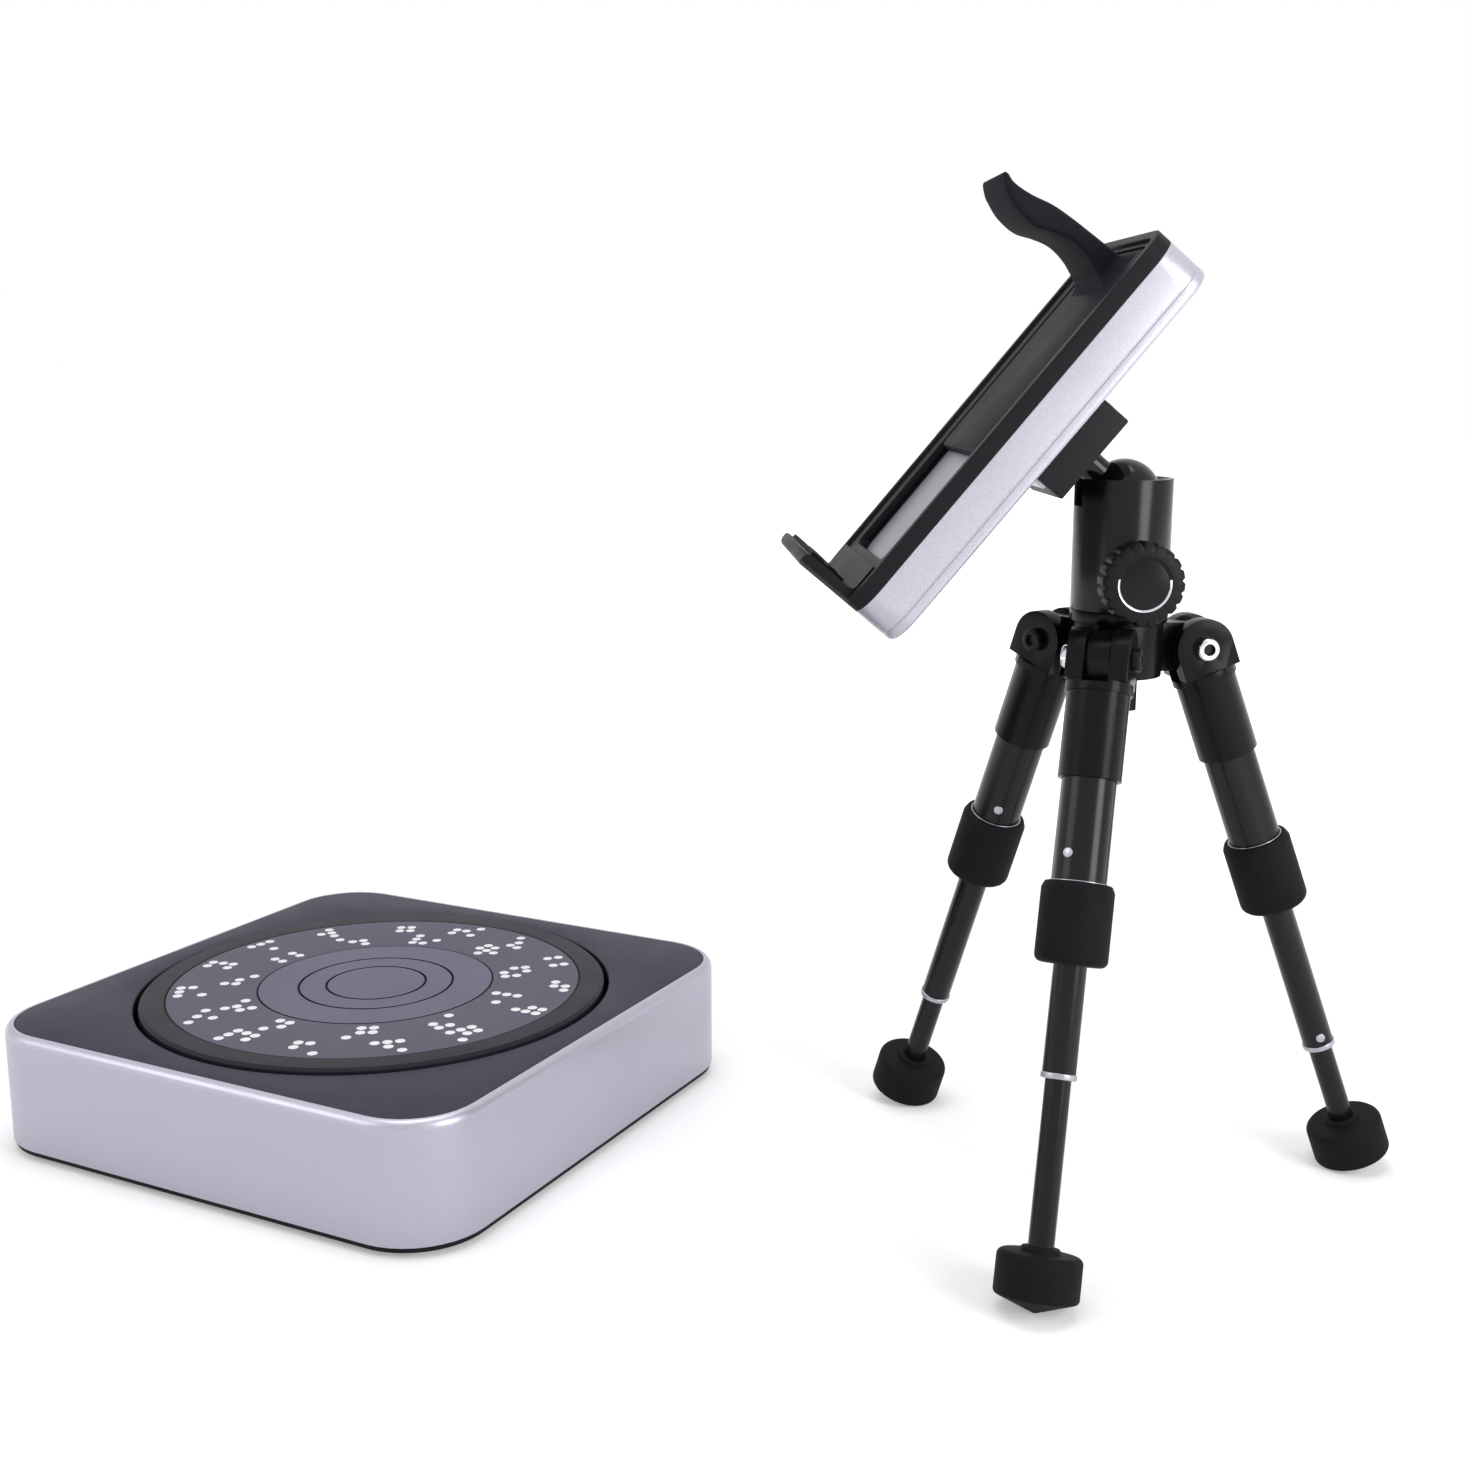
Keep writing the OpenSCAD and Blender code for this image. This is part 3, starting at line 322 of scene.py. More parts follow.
spark_black = surface("spark_black", (56, 56, 70), 0.5, grain=2400, mottle=0.12, relief=0.00002, shine=0.12)
# Near-black paint for the gap round the platter, its grooves and recess edges: painted shade in hollows
painted_shade_black = surface("painted_shade_black", (12, 12, 14), 0.7, grain=2000, mottle=0.10, relief=0.00001, shine=0.2)
cover_loops = [square_loop(0.0, cover_base), square_loop(0.0, case_height - 0.25),
               square_loop(0.08, case_height - 0.08), square_loop(0.3, case_height)]
for radius, z in ((opening_r + 0.8, case_height), (opening_r + 0.35, case_height - 0.1),
                  (opening_r + 0.1, case_height - 0.35),
                  (opening_r, case_height - 0.8), (opening_r, cover_base)):
    cover_loops.append(ring_loop(radius, z, cover_steps))
# The opening's lower edge and wall, and the cover's underside, take the painted shade
cover_shade_bands = [0, 0, 0, 0, 0, 0, 1, 1, 1]
made("top_cover_panel", skin(cover_loops, wrap=True, bands=cover_shade_bands), case_place,
     [spark_black, painted_shade_black], "turntable", ["top_cover"])

# Platter: a turned disc of dark coated plastic with a chamfered rim, pressed on the spindle's top.
# A recess holds the marker ring, and two fine grooves mark the middle; the grooves and the recess's edges
# are painted near-black as painted shade.
# It stands a little proud of the cover.
platter_r = 81.0
platter_top = 44.7
platter_under = 38.7
marker_outer = 72.2
marker_inner = 41.1
marker_depth = 0.5
groove_rings = (17.4, 27.0)
groove_half = 0.45
groove_depth = 0.6
ledge = 0.4
hub_r = 20.0
hub_drop = 3.2
spindle_hole_r = 6.0
hole_rise = 2.0
platter_steps = 192


def turned(line, steps=96, closed=True, bands=None):
    """A piece turned on a lathe from its side view (radius, height)."""
    loops = [ring_loop(r, z, steps) for r, z in line]
    return skin(loops, wrap=closed, caps=False, bands=bands)


band_grey = surface("band_grey", (40, 39, 48), 0.45, grain=2000, mottle=0.08, relief=0.00001, shine=0.1)
disc_grey = surface("disc_grey", (98, 97, 117), 0.45, grain=2400, mottle=0.08, relief=0.00001, shine=0.15)
rim = [(platter_r - 1.0, platter_top, 0.3), (platter_r, platter_top - 1.0, 0.3),
       (platter_r, platter_under, 0.5)]
under = [(hub_r, platter_under, 0.3), (hub_r, platter_under - hub_drop, 0.3),
         (spindle_hole_r, platter_under - hub_drop, 0), (spindle_hole_r, platter_under + hole_rise, 0)]
platter_line = [(0.0, platter_top)]
platter_tone_and_shade_bands = [0]
# Groove walls and floors take the painted shade
for middle in groove_rings:
    for r, z in ((middle - groove_half, platter_top), (middle - groove_half, platter_top - groove_depth),
                 (middle + groove_half, platter_top - groove_depth), (middle + groove_half, platter_top)):
        platter_line.append((r, z))
    platter_tone_and_shade_bands += [1, 1, 1, 0]
# The recess's edges and walls take the painted shade; the outer band is the platter's own darker plastic
for r, z in ((marker_inner - 0.35, platter_top), (marker_inner, platter_top),
             (marker_inner, platter_top - marker_depth), (marker_outer, platter_top - marker_depth),
             (marker_outer, platter_top), (marker_outer + ledge, platter_top)):
    platter_line.append((r, z))
platter_tone_and_shade_bands += [1, 1, 1, 1, 1, 2]
outer_line = eased([(marker_outer + ledge, platter_top, 0)] + rim + under
                   + [(0.0, platter_under + hole_rise, 0)], closed=False)
platter_line += outer_line[1:]
platter_tone_and_shade_bands += [2] * (len(platter_line) - 1 - len(platter_tone_and_shade_bands))
made("platter_disc", turned(platter_line, platter_steps, closed=False, bands=platter_tone_and_shade_bands), case_place,
     [disc_grey, painted_shade_black, band_grey], "platter", ["platter"])

# Marker ring: a thin printed film with a fine matt grain, glued into the platter's recess.
# Groups of small white dots are printed on it all round, in a plain layout of their own.
# The dots are a hair thick, as screen ink is.
film_grey = surface("film_grey", (94, 94, 108), 0.6, grain=3200, mottle=0.22, relief=0.00002, shine=0.12)
film_gap = 0.35
film_sink = 0.02
film_line = eased([(marker_inner + film_gap, platter_top - marker_depth, 0),
                   (marker_outer - film_gap, platter_top - marker_depth, 0),
                   (marker_outer - film_gap, platter_top - film_sink, 0.1),
                   (marker_inner + film_gap, platter_top - film_sink, 0.1)])
made("marker_film_ring", turned(film_line, platter_steps), case_place, [film_grey], "platter",
     ["marker_ring"])

ink_white = surface("ink_white", (238, 238, 242), 0.5, grain=2500, mottle=0.03, relief=0.000004)
dot_r = 1.7
dot_step = 4.1
dot_height = 0.05
dot_rings = ((dot_r, -0.03), (dot_r, dot_height - 0.02), (dot_r - 0.03, dot_height))
dot_steps = 20
dot_seed = 11
layout = random.Random(dot_seed)
dot_points = []
dot_faces = []
dot_bands = []
group_rows = [(63.9, 15, 0.0), (49.6, 11, 0.14)]
for ring_r, groups, start in group_rows:
    for g in range(groups):
        lean = start + math.tau * g / groups
        spots = [(i, j) for i in (-1, 0, 1) for j in (-1, 0, 1)]
        for i, j in layout.sample(spots, layout.choice((4, 5, 6))):
            out = ring_r + dot_step * j
            x = out * math.cos(lean) - dot_step * i * math.sin(lean)
            y = out * math.sin(lean) + dot_step * i * math.cos(lean)
            loops = [[(x + a, y + b, c) for a, b, c in ring_loop(r, platter_top + z, dot_steps)]
                     for r, z in dot_rings]
            points, faces, bands = skin(loops)
            first = len(dot_points)
            dot_points += points
            dot_faces += [tuple(first + n for n in face) for face in faces]
            dot_bands += bands
made("marker_dots", (dot_points, dot_faces, dot_bands), case_place, [ink_white], "platter")

# Tripod crown, hexagon column and pan base: the legs hang on three lugs of one black casting.
# The column stub screws into it from below and the pan base of the ball head from above.
# All are die cast and painted gloss black, with softly broken edges.
solid_weld = 0.000002
flat_angle = 0.6
cast_edge = 34


def softened(node, name, finish, body, width=0.6, sharp=32):
    """A cast or milled piece with its edges broken, taken from its plain solid."""
    mesh = frame["nodes"][node].data.copy()
    work = bmesh.new()
    work.from_mesh(mesh)
    bmesh.ops.remove_doubles(work, verts=work.verts, dist=solid_weld)
    bmesh.ops.dissolve_limit(work, angle_limit=math.radians(flat_angle), verts=work.verts, edges=work.edges)
    hard = [e for e in work.edges if len(e.link_faces) == 2 and e.calc_face_angle() > math.radians(sharp)]
    bmesh.ops.bevel(work, geom=hard, offset=width * MM, segments=3, profile=0.5, affect="EDGES",
                    clamp_overlap=True)
    bmesh.ops.triangulate(work, faces=[f for f in work.faces if len(f.verts) > 4])
    work.to_mesh(mesh)
    work.free()
    mesh.materials.clear()
    mesh.materials.append(finish)
    mesh.shade_smooth()
    mesh.set_sharp_from_angle(angle=math.radians(cast_edge))
    piece = bpy.data.objects.new(name, mesh)
    bpy.context.scene.collection.objects.link(piece)
    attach(piece, body)
    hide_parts(node)
    return piece


gloss_casting = surface("gloss_casting", (13, 13, 16), 0.26, grain=700, mottle=0.10, relief=0.000012,
                        shine=0.13)
softened("crown", "crown_casting", gloss_casting, "tripod", width=0.8)
softened("centre_column", "column_stub", gloss_casting, "tripod", width=0.5)
softened("pan_base", "pan_disc", gloss_casting, "tripod", width=0.7)

# Hinge bolts: bright chromed bolts with domed heads and a round socket, one through each lug.
# A knuckle turns on each of them, and a black cap nut closes the far end.
# The socket's floor is painted dark as painted shade in the hollow.
joint = {j["name"]: j for j in frame["joints"]}
bolt_r = 2.0
bolt_half = 9.05
bolt_head_r = 3.5
bolt_head_h = 2.8
bolt_reach = bolt_half + bolt_head_h
bolt_steps = 48
socket_r = 1.75
socket_floor = bolt_reach - 1.3
bright_chrome = surface("bright_chrome", (214, 216, 221), 0.12, grain=1200, mottle=0.03, relief=0.000002,
                        metal=1.0, wear=0.06)
# Dark paint for the socket floors, as painted shade, and for the black cap nuts
socket_shade_and_nut_black = surface("socket_shade_and_nut_black", (20, 20, 22), 0.4, grain=1500, mottle=0.12, relief=0.00001, shine=0.2)


def leg_frame(k):
    """Places a piece drawn along a leg, from its hinge outwards."""
    hinge = Vector(joint[f"leg_{k}_fold"]["pos_m"])
    side = Vector(joint[f"leg_{k}_fold"]["axis"]).normalized()
    down = Vector(joint[f"leg_{k}_extend"]["axis"]).normalized()
    cross = side.cross(down)
    turn = Matrix((cross, side, down)).transposed().to_4x4()
    return Matrix.Translation(hinge) @ turn @ Matrix.Scale(MM, 4)


bolt_points = []
bolt_faces = []
bolt_bands = []
half_bolt = eased([(0.0, socket_floor, 0), (socket_r, socket_floor, 0), (socket_r, bolt_reach, 0.25),
                   (bolt_head_r, bolt_reach - 0.1, 1.1), (bolt_head_r, bolt_half, 0.2),
                   (bolt_r, bolt_half, 0), (bolt_r, 0.0, 0)], closed=False)
bolt_line = half_bolt + [(r, -z) for r, z in reversed(half_bolt[:-1])]
# Faces inside the sockets take painted shade; the far half is the black cap nut
bolt_shade_and_nut_marks = []
for (r, z), (next_r, next_z) in zip(bolt_line, bolt_line[1:]):
    shade_or_nut = max(r, next_r) <= socket_r or z + next_z < 0
    bolt_shade_and_nut_marks.append(1 if shade_or_nut else 0)
for k in (1, 2, 3):
    hinge_turn = leg_frame(k) @ Matrix.Rotation(math.pi / 2, 4, "X")
    points, faces, bands = turned(bolt_line, bolt_steps, closed=False, bands=bolt_shade_and_nut_marks)
    first = len(bolt_points)
    bolt_points += [tuple(hinge_turn @ Vector(p) / MM) for p in points]
    bolt_faces += [tuple(first + n for n in face) for face in faces]
    bolt_bands += bands
made("hinge_bolts", (bolt_points, bolt_faces, bolt_bands), case_place, [bright_chrome, socket_shade_and_nut_black],
     "tripod", ["pivot_bolts"])

# Legs: a cast knuckle with a long sleeve takes a gloss black tube, glued in.
# A lower tube and a thin rod slide out of it, held by a rubber twist grip with a bright trim ring.
# The rod stands in a thick rubber foot with a blunt point.
gloss_tube = surface("gloss_tube", (14, 14, 18), 0.22, grain=500, mottle=0.08, relief=0.000004, shine=0.25)
grip_rubber = surface("grip_rubber", (20, 20, 23), 0.68, grain=1300, mottle=0.16, relief=0.00004, shine=0.1)
satin_trim = surface("satin_trim", (168, 169, 176), 0.3, grain=1500, mottle=0.04, relief=0.000003,
                     metal=1.0)
tube_r = 8.0
tube_bore = 7.0
tube_start = 13.0
tube_end = 84.0
grip_r = 10.6
grip_hole_r = 8.05
grip_top = 66.6
grip_bottom = 90.2
grip_step = 84.3
collar_hole_r = 4.95
trim_hole_r = 8.06
trim_r = 8.5
trim_top = grip_top - 0.3
trim_low = grip_top + 0.02
plug_r = 6.92
plug_start = 40.0
plug_end = 46.0
lower_r = 4.85
lower_bore = 3.8
end_ring_r = 5.2
ring_start = 121.0
lower_end = 122.8
rod_r = 3.75
rod_start = 95.0
leg_steps = 64
rivet_steps = 24
pad_r = 12.2
pad_top = 171.139
pad_low = 183.439
pad_point = 188.0
rod_end = pad_top + 6.0
neck_top = pad_top - 1.6
tube_line = [(tube_r, tube_start), (tube_r, tube_end), (tube_bore, tube_end), (tube_bore, tube_start)]
grip_line = eased([(grip_hole_r, grip_top, 0.2), (grip_r - 0.9, grip_top, 0.7),
                   (grip_r, grip_top + 1.9, 1.6), (grip_r, grip_bottom, 2.2),
                   (collar_hole_r, grip_bottom, 0.3), (collar_hole_r, grip_step, 0),
                   (grip_hole_r, grip_step, 0)])
trim_line = eased([(trim_hole_r, trim_top, 0.1), (trim_r, trim_top, 0.15), (trim_r, trim_low, 0.05),
                   (trim_hole_r, trim_low, 0.05)])
lower_draw = {1: 0.0, 2: 20.0, 3: 20.0}
lower_line = eased([(plug_r, plug_start, 0.2), (plug_r, plug_end, 0.2), (lower_r, plug_end, 0),
                    (lower_r, ring_start, 0.1), (lower_bore, ring_start, 0), (lower_bore, plug_start, 0)])
end_line = eased([(end_ring_r, ring_start, 0.3), (end_ring_r, lower_end, 0.5),
                  (lower_bore, lower_end, 0.1), (lower_bore, ring_start, 0)])
rod_line = [(0.0, rod_start), (rod_r, rod_start), (rod_r, rod_end), (0.0, rod_end)]
foot_line = eased([(rod_r, rod_end, 0), (rod_r, neck_top, 0.2), (5.5, neck_top, 0.7), (5.7, pad_top, 0.3),
                   (pad_r, pad_top, 1.9), (pad_r, pad_low, 1.3), (0.9, pad_point - 0.35, 0.8),
                   (0.0, pad_point - 0.1, 0)], closed=False)
foot_line = [(0.0, rod_end)] + foot_line
rivet_line = eased([(0.0, -0.6, 0), (1.5, -0.6, 0), (1.5, 0.3, 0.3), (0.0, 0.55, 0)], closed=False)
# The rivets look to the front of the set: station along the leg, radius, part, bearing in degrees
rivet_tilt = 0.25
rivets = {1: (58.6, tube_r, "", -104.0), 2: (138.0, lower_r, "_lower", -66.0), 3: (61.0, tube_r, "", -68.0)}
for k in (1, 2, 3):
    leg = f"leg_{k}"
    at = leg_frame(k)
    drawn = at @ Matrix.Translation((0.0, 0.0, lower_draw[k]))
    softened(leg + "_knuckle", leg + "_knuckle_casting", gloss_casting, leg, width=0.9)
    made(leg + "_tube_black", turned(tube_line, leg_steps), at, [gloss_tube], leg,
         [leg + "_tube"])
    made(leg + "_grip_rubber", turned(grip_line, leg_steps), at, [grip_rubber], leg + "_twist",
         [leg + "_grip"])
    made(leg + "_grip_trim", turned(trim_line, leg_steps), at, [satin_trim], leg + "_twist")
    made(leg + "_lower_black", turned(lower_line, leg_steps), drawn, [gloss_tube], leg + "_lower",
         [leg + "_lower_tube"])
    made(leg + "_lower_ring", turned(end_line, leg_steps), drawn, [satin_trim], leg + "_lower")
    made(leg + "_rod_black", turned(rod_line, leg_steps, closed=False), at, [gloss_tube], leg + "_end",
         [leg + "_rod"])
    made(leg + "_foot_rubber", turned(foot_line, leg_steps, closed=False), at, [grip_rubber], leg + "_end",
         [leg + "_foot"])
    station, radius, part, bearing = rivets[k]
    front = Vector((math.cos(math.radians(bearing)), math.sin(math.radians(bearing)), rivet_tilt))
    facing = at.to_3x3().normalized().inverted() @ front
    turn = math.atan2(facing.y, facing.x)
    seat = at @ Matrix.Translation((radius * math.cos(turn), radius * math.sin(turn), station))
    seat = seat @ Matrix.Rotation(turn, 4, "Z") @ Matrix.Rotation(math.pi / 2, 4, "Y")
    made(leg + "_rivet", turned(rivet_line, rivet_steps, closed=False), seat, [satin_trim], leg + part)

# Ball head: a gloss black barrel turned and milled from the bar, with a boss for the lock knob.
# The ball is polished and sits on a nylon seat, and its neck can drop into a notch in the rim.
# A screwed neck flange carries the clamp.
gloss_barrel = surface("gloss_barrel", (13, 13, 17), 0.22, grain=600, mottle=0.08, relief=0.000004,
                       shine=0.25)
softened("head_body", "head_barrel", gloss_barrel, "head", width=0.7, sharp=40)
dress(["ball_seat"], surface("seat_nylon", (225, 222, 212), 0.5, grain=900, mottle=0.04, relief=0.00001))
dress(["ball_stem"], surface("polished_black", (13, 13, 15), 0.1, grain=500, mottle=0.06, relief=0.000002,
                             shine=0.3))

# Lock knob: a moulded black hand wheel with rounded flutes, pinned on the steel lock screw.
# Its outer face has a smooth inset cap, framed by a bevel that is chrome along its lower half as a painted
# highlight and black above as painted shade.
# It presses the seat against the ball.
ball = Vector(joint["head_pan"]["pos_m"])
knob_axis = Vector(joint["lock_knob_turn"]["axis"]).normalized()
knob_middle = Vector(joint["lock_knob_turn"]["pos_m"])


def axis_frame(origin, axis):
    """Places a piece drawn along an axis through a point."""
    turn = Vector((0, 0, 1)).rotation_difference(axis).to_matrix().to_4x4()
    return Matrix.Translation(origin) @ turn @ Matrix.Scale(MM, 4)


def fluted(line, flutes, depth, steps=240):
    """A hand wheel: its side view (radius, height, share of the flutes) turned, with flutes in its rim."""
    loops = []
    for radius, z, share in line:
        loop = []
        for k in range(steps):
            a = math.tau * k / steps
            dip = depth * share * max(math.cos(a * flutes), 0.0) ** 2
            loop.append(((radius - dip) * math.cos(a), (radius - dip) * math.sin(a), z))
        loops.append(loop)
    return skin(loops)


knob_black = surface("knob_black", (18, 18, 21), 0.45, grain=1700, mottle=0.12, relief=0.00002, shine=0.15)
# Black for the cap, also used as painted shade on the bevel's upper part
cap_black_and_bevel_shade = surface("cap_black_and_bevel_shade", (22, 22, 26), 0.25, grain=900, mottle=0.08, relief=0.000006, shine=0.15)
knob_base = 15.6
knob_rise = 18.55
knob_face = 27.55
# Bevel faces that point less far up than this take chrome as a painted highlight
painted_glint_rise = 0.2
cap_r = 7.4
cap_seat_r = 8.15
cap_seat = knob_face - 0.7
knob_steps = 96
wheel_flutes = 20
wheel_dip = 0.75
wheel_line = [(6.0, knob_base, 0), (6.0, knob_rise, 0), (10.9, knob_rise, 0.2),
              (11.7, knob_rise + 0.25, 0.7), (12.2, knob_rise + 0.9, 1),
              (12.3, knob_rise + 1.8, 1), (12.3, knob_face - 2.0, 1), (12.1, knob_face - 1.1, 1),
              (11.5, knob_face - 0.4, 0.7), (10.6, knob_face - 0.08, 0.25), (8.2, knob_face, 0),
              (cap_seat_r, cap_seat, 0)]
knob_at = axis_frame(knob_middle, knob_axis)
made("lock_wheel", fluted(wheel_line, wheel_flutes, wheel_dip), knob_at, [knob_black], "lock",
     ["lock_knob"])
bevel_line = eased([(cap_r, cap_seat, 0.1), (cap_seat_r, cap_seat, 0), (cap_seat_r, knob_face - 0.05, 0.2),
                    (cap_r, knob_face - 0.45, 0.1)])
bevel_points, bevel_faces, bevel_glint_and_shade_bands = turned(bevel_line, knob_steps)
# Bevel faces that point lower take chrome, a painted highlight; faces that point up take black, painted
# shade
for n in range(len(bevel_faces)):
    a = math.tau * (n % knob_steps + 0.5) / knob_steps
    rise = (knob_at.to_3x3().normalized() @ Vector((math.cos(a), math.sin(a), 0.0))).z
    bevel_glint_and_shade_bands[n] = 0 if rise < painted_glint_rise else 1
made("lock_wheel_bevel", (bevel_points, bevel_faces, bevel_glint_and_shade_bands), knob_at, [bright_chrome, cap_black_and_bevel_shade],
     "lock")
cap_line = eased([(0.0, knob_face - 1.2, 0), (cap_r, knob_face - 1.2, 0), (cap_r, knob_face - 0.5, 0.25),
                  (0.0, knob_face - 0.1, 0)], closed=False)
made("lock_wheel_cap", turned(cap_line, knob_steps, closed=False), knob_at, [cap_black_and_bevel_shade], "lock")

# Clamp: a milled black body and a sliding jaw grip the dovetail of an aluminium release plate.
# A small knurled knob on a steel screw draws the jaw in.
# The plate is held on the cradle by a quarter-inch camera screw.
cradle_out = Vector(joint["cradle_swivel"]["axis"]).normalized()
cradle_up = Vector(joint["jaw_slide"]["axis"]).normalized()
cradle_across = cradle_up.cross(cradle_out)
cradle_reach = 31.2
cradle_turn = Matrix((cradle_across, cradle_up, cradle_out)).transposed().to_4x4()
cradle_at = Matrix.Translation(ball + cradle_out * cradle_reach * MM) @ cradle_turn @ Matrix.Scale(MM, 4)
milled_black = surface("milled_black", (36, 36, 39), 0.52, grain=1500, mottle=0.14, relief=0.000015,
                       shine=0.12)
milled_bright = surface("milled_bright", (178, 179, 184), 0.34, grain=1200, mottle=0.06, relief=0.000008,
                        metal=0.9)
softened("clamp_body", "clamp_block", milled_black, "cradle", width=0.6)
softened("clamp_jaw", "clamp_slide", milled_black, "clamp_jaw", width=0.5)
softened("release_plate", "dovetail_plate", milled_bright, "cradle", width=0.4)
dress(["plate_screw", "cradle_screws"], surface("black_steel", (92, 93, 97), 0.35, grain=1400, mottle=0.08,
                                                relief=0.00001, metal=1.0))
clamp_axis = Vector(joint["clamp_knob_turn"]["axis"]).normalized()
clamp_drop = 10.8
clamp_flutes = 28
clamp_dip = 0.45
clamp_origin = cradle_at @ Vector((0.0, 0.0, -clamp_drop))
clamp_knob_line = [(1.95, 25.7, 0), (6.9, 25.7, 0.2), (7.6, 26.0, 0.8), (8.0, 26.8, 1), (8.0, 32.4, 1),
                   (7.6, 33.3, 0.9), (6.8, 33.7, 0.3), (0.01, 33.7, 0)]
made("clamp_wheel", fluted(clamp_knob_line, clamp_flutes, clamp_dip), axis_frame(clamp_origin, clamp_axis),
     [knob_black], "clamp_knob", ["clamp_knob"])

# Cradle shell: a shallow tray of silver metallic plastic with rounded ends and a fine seam near its back.
# It holds the camera thread in a boss and is screwed to the black frame from behind.
# The inner deck is a flat plate of the same plastic inside it, painted a darker silver as painted shade
# inside the tray.
tray_w = 75.0
tray_top = 56.5
tray_bottom = -77.8
tray_len = tray_top - tray_bottom
tray_mid = (0.0, (tray_top + tray_bottom) / 2)
tray_corner = 9.0
tray_depth = 13.8
tray_wall = 2.2
metal_flake = surface("metal_flake", (188, 186, 197), 0.36, grain=3600, mottle=0.16, relief=0.000008,
                      metal=0.5)
tray_side = eased([(4.0, 0.0, 0), (0.0, 0.0, 2.4), (0.0, 3.3, 0.1), (0.3, 3.45, 0.1), (0.3, 3.85, 0.1),
                   (0.0, 4.0, 0.1), (0.0, tray_depth, 0.3), (tray_wall, tray_depth, 0.2),
                   (tray_wall, tray_wall, 0.8), (6.0, tray_wall, 0)], closed=False)
tray_loops = [outline(tray_w - 2 * i, tray_len - 2 * i, tray_corner - i, z, tray_mid) for i, z in tray_side]
cradle_tray = made("cradle_tray", skin(tray_loops), cradle_at, [metal_flake], "cradle",
                   ["cradle_shell"])
tray_hole_r = 2.6
tray_hole_cut = (-1.0, 1.62)
tray_hole_steps = 32
tray_hole_sides = (-30.0, 30.0)
tray_hole_ends = (-70.3, 49.0)
screw_holes = []
for x in tray_hole_sides:
    for y in tray_hole_ends:
        rings = [[(x + a, y + b, c) for a, b, c in ring_loop(tray_hole_r, z, tray_hole_steps)]
                 for z in tray_hole_cut]
        screw_holes.append(made("tray_hole", skin(rings), cradle_at, [metal_flake], None))
pierced(cradle_tray, screw_holes)
# A darker copy of the tray's silver: painted shade on the deck inside the tray
dress(["inner_deck"], surface("shaded_deck_silver", (150, 149, 160), 0.42, grain=3600, mottle=0.12,
                              relief=0.000008, metal=0.3))

# Cradle frame: a black moulded bezel round the long window in which the upper jaw slides.
# A low border runs round its edge, and the rails beside the window guide the jaw's flanges.
# Its lower end is cut back for the lip.
frame_low = 13.8
rail_top = 17.4
frame_top = 18.6
border = 3.0
window_half = 27.0
window_low = -62.0
window_high = 52.0
window_corner = 3.0
bezel_black = surface("bezel_black", (26, 26, 30), 0.5, grain=2300, mottle=0.14, relief=0.00002, shine=0.12)
border_side = eased([(0.0, frame_low, 0.2), (0.0, frame_top, 0.6), (border, frame_top, 0.4),
                     (border + 0.25, rail_top, 0.2)], closed=False)
bezel_loops = [outline(tray_w - 2 * i, tray_len - 2 * i, tray_corner - i, z, tray_mid)
               for i, z in border_side]
window_mid = (0.0, (window_low + window_high) / 2)
for inset, z in ((-0.5, rail_top), (-0.15, rail_top - 0.1), (0.0, rail_top - 0.5), (0.0, frame_low)):
    bezel_loops.append(outline(2 * (window_half - inset), window_high - window_low - 2 * inset,
                               window_corner - inset, z, window_mid))
cradle_bezel = made("cradle_bezel", skin(bezel_loops, wrap=True), cradle_at, [bezel_black], "cradle",
                    ["cradle_frame"])
lip_half = 33.0
seat_half = lip_half + 0.05
seat_cut = (rail_top - 0.02, 22.0)
seat_out = -80.0
seat_in = -64.75
seat_loops = [[(x, y, z) for x, y in ((-seat_half, seat_out), (seat_half, seat_out),
                                      (seat_half, seat_in), (-seat_half, seat_in))] for z in seat_cut]
lip_seat = made("lip_seat", skin(seat_loops), cradle_at, [bezel_black], None)
groove_low = -59.3
groove_high = 49.3
groove_sides = (window_half - 1.0, window_half + 2.0)
groove_cut = (frame_low - 1.0, frame_low + 1.6)
rail_cuts = []
for side in (-1, 1):
    low, high = sorted(side * x for x in groove_sides)
    loops = [[(x, y, z) for x, y in ((low, groove_low), (high, groove_low),
                                     (high, groove_high), (low, groove_high))] for z in groove_cut]
    rail_cuts.append(made("rail_cut", skin(loops), cradle_at, [bezel_black], None))
pierced(cradle_bezel, [lip_seat] + rail_cuts)

# Lower jaw: a stiff black lip that stands out of the frame's lower end, with a flat foot screwed to it.
# A stepped rubber pad on its inner face keeps the scanner from slipping.
# The lip's outer face follows the frame's rounded corners.
lip_low = -77.8
lip_inner = -73.8
lip_tip = 36.1
pad_drop = 14.0
pad_low_edge = lip_tip - pad_drop
foot_edge = -64.8
foot_rise = 1.6
foot_top = rail_top + foot_rise
lip_steps = 24
pad_half = 28.0


def lip_loop(inset, z, inner):
    """The lip's outline seen along the scanner's axis, at one height."""
    half = lip_half - inset
    straight = tray_w / 2 - tray_corner
    outer = []
    for k in range(lip_steps + 1):
        x = -half + 2 * half * k / lip_steps
        over = max(abs(x) - straight, 0.0)
        y = lip_low + inset + tray_corner - math.sqrt(tray_corner * tray_corner - over * over)
        outer.append((x, y, z))
    return outer + [(half, inner - inset, z), (-half, inner - inset, z)]


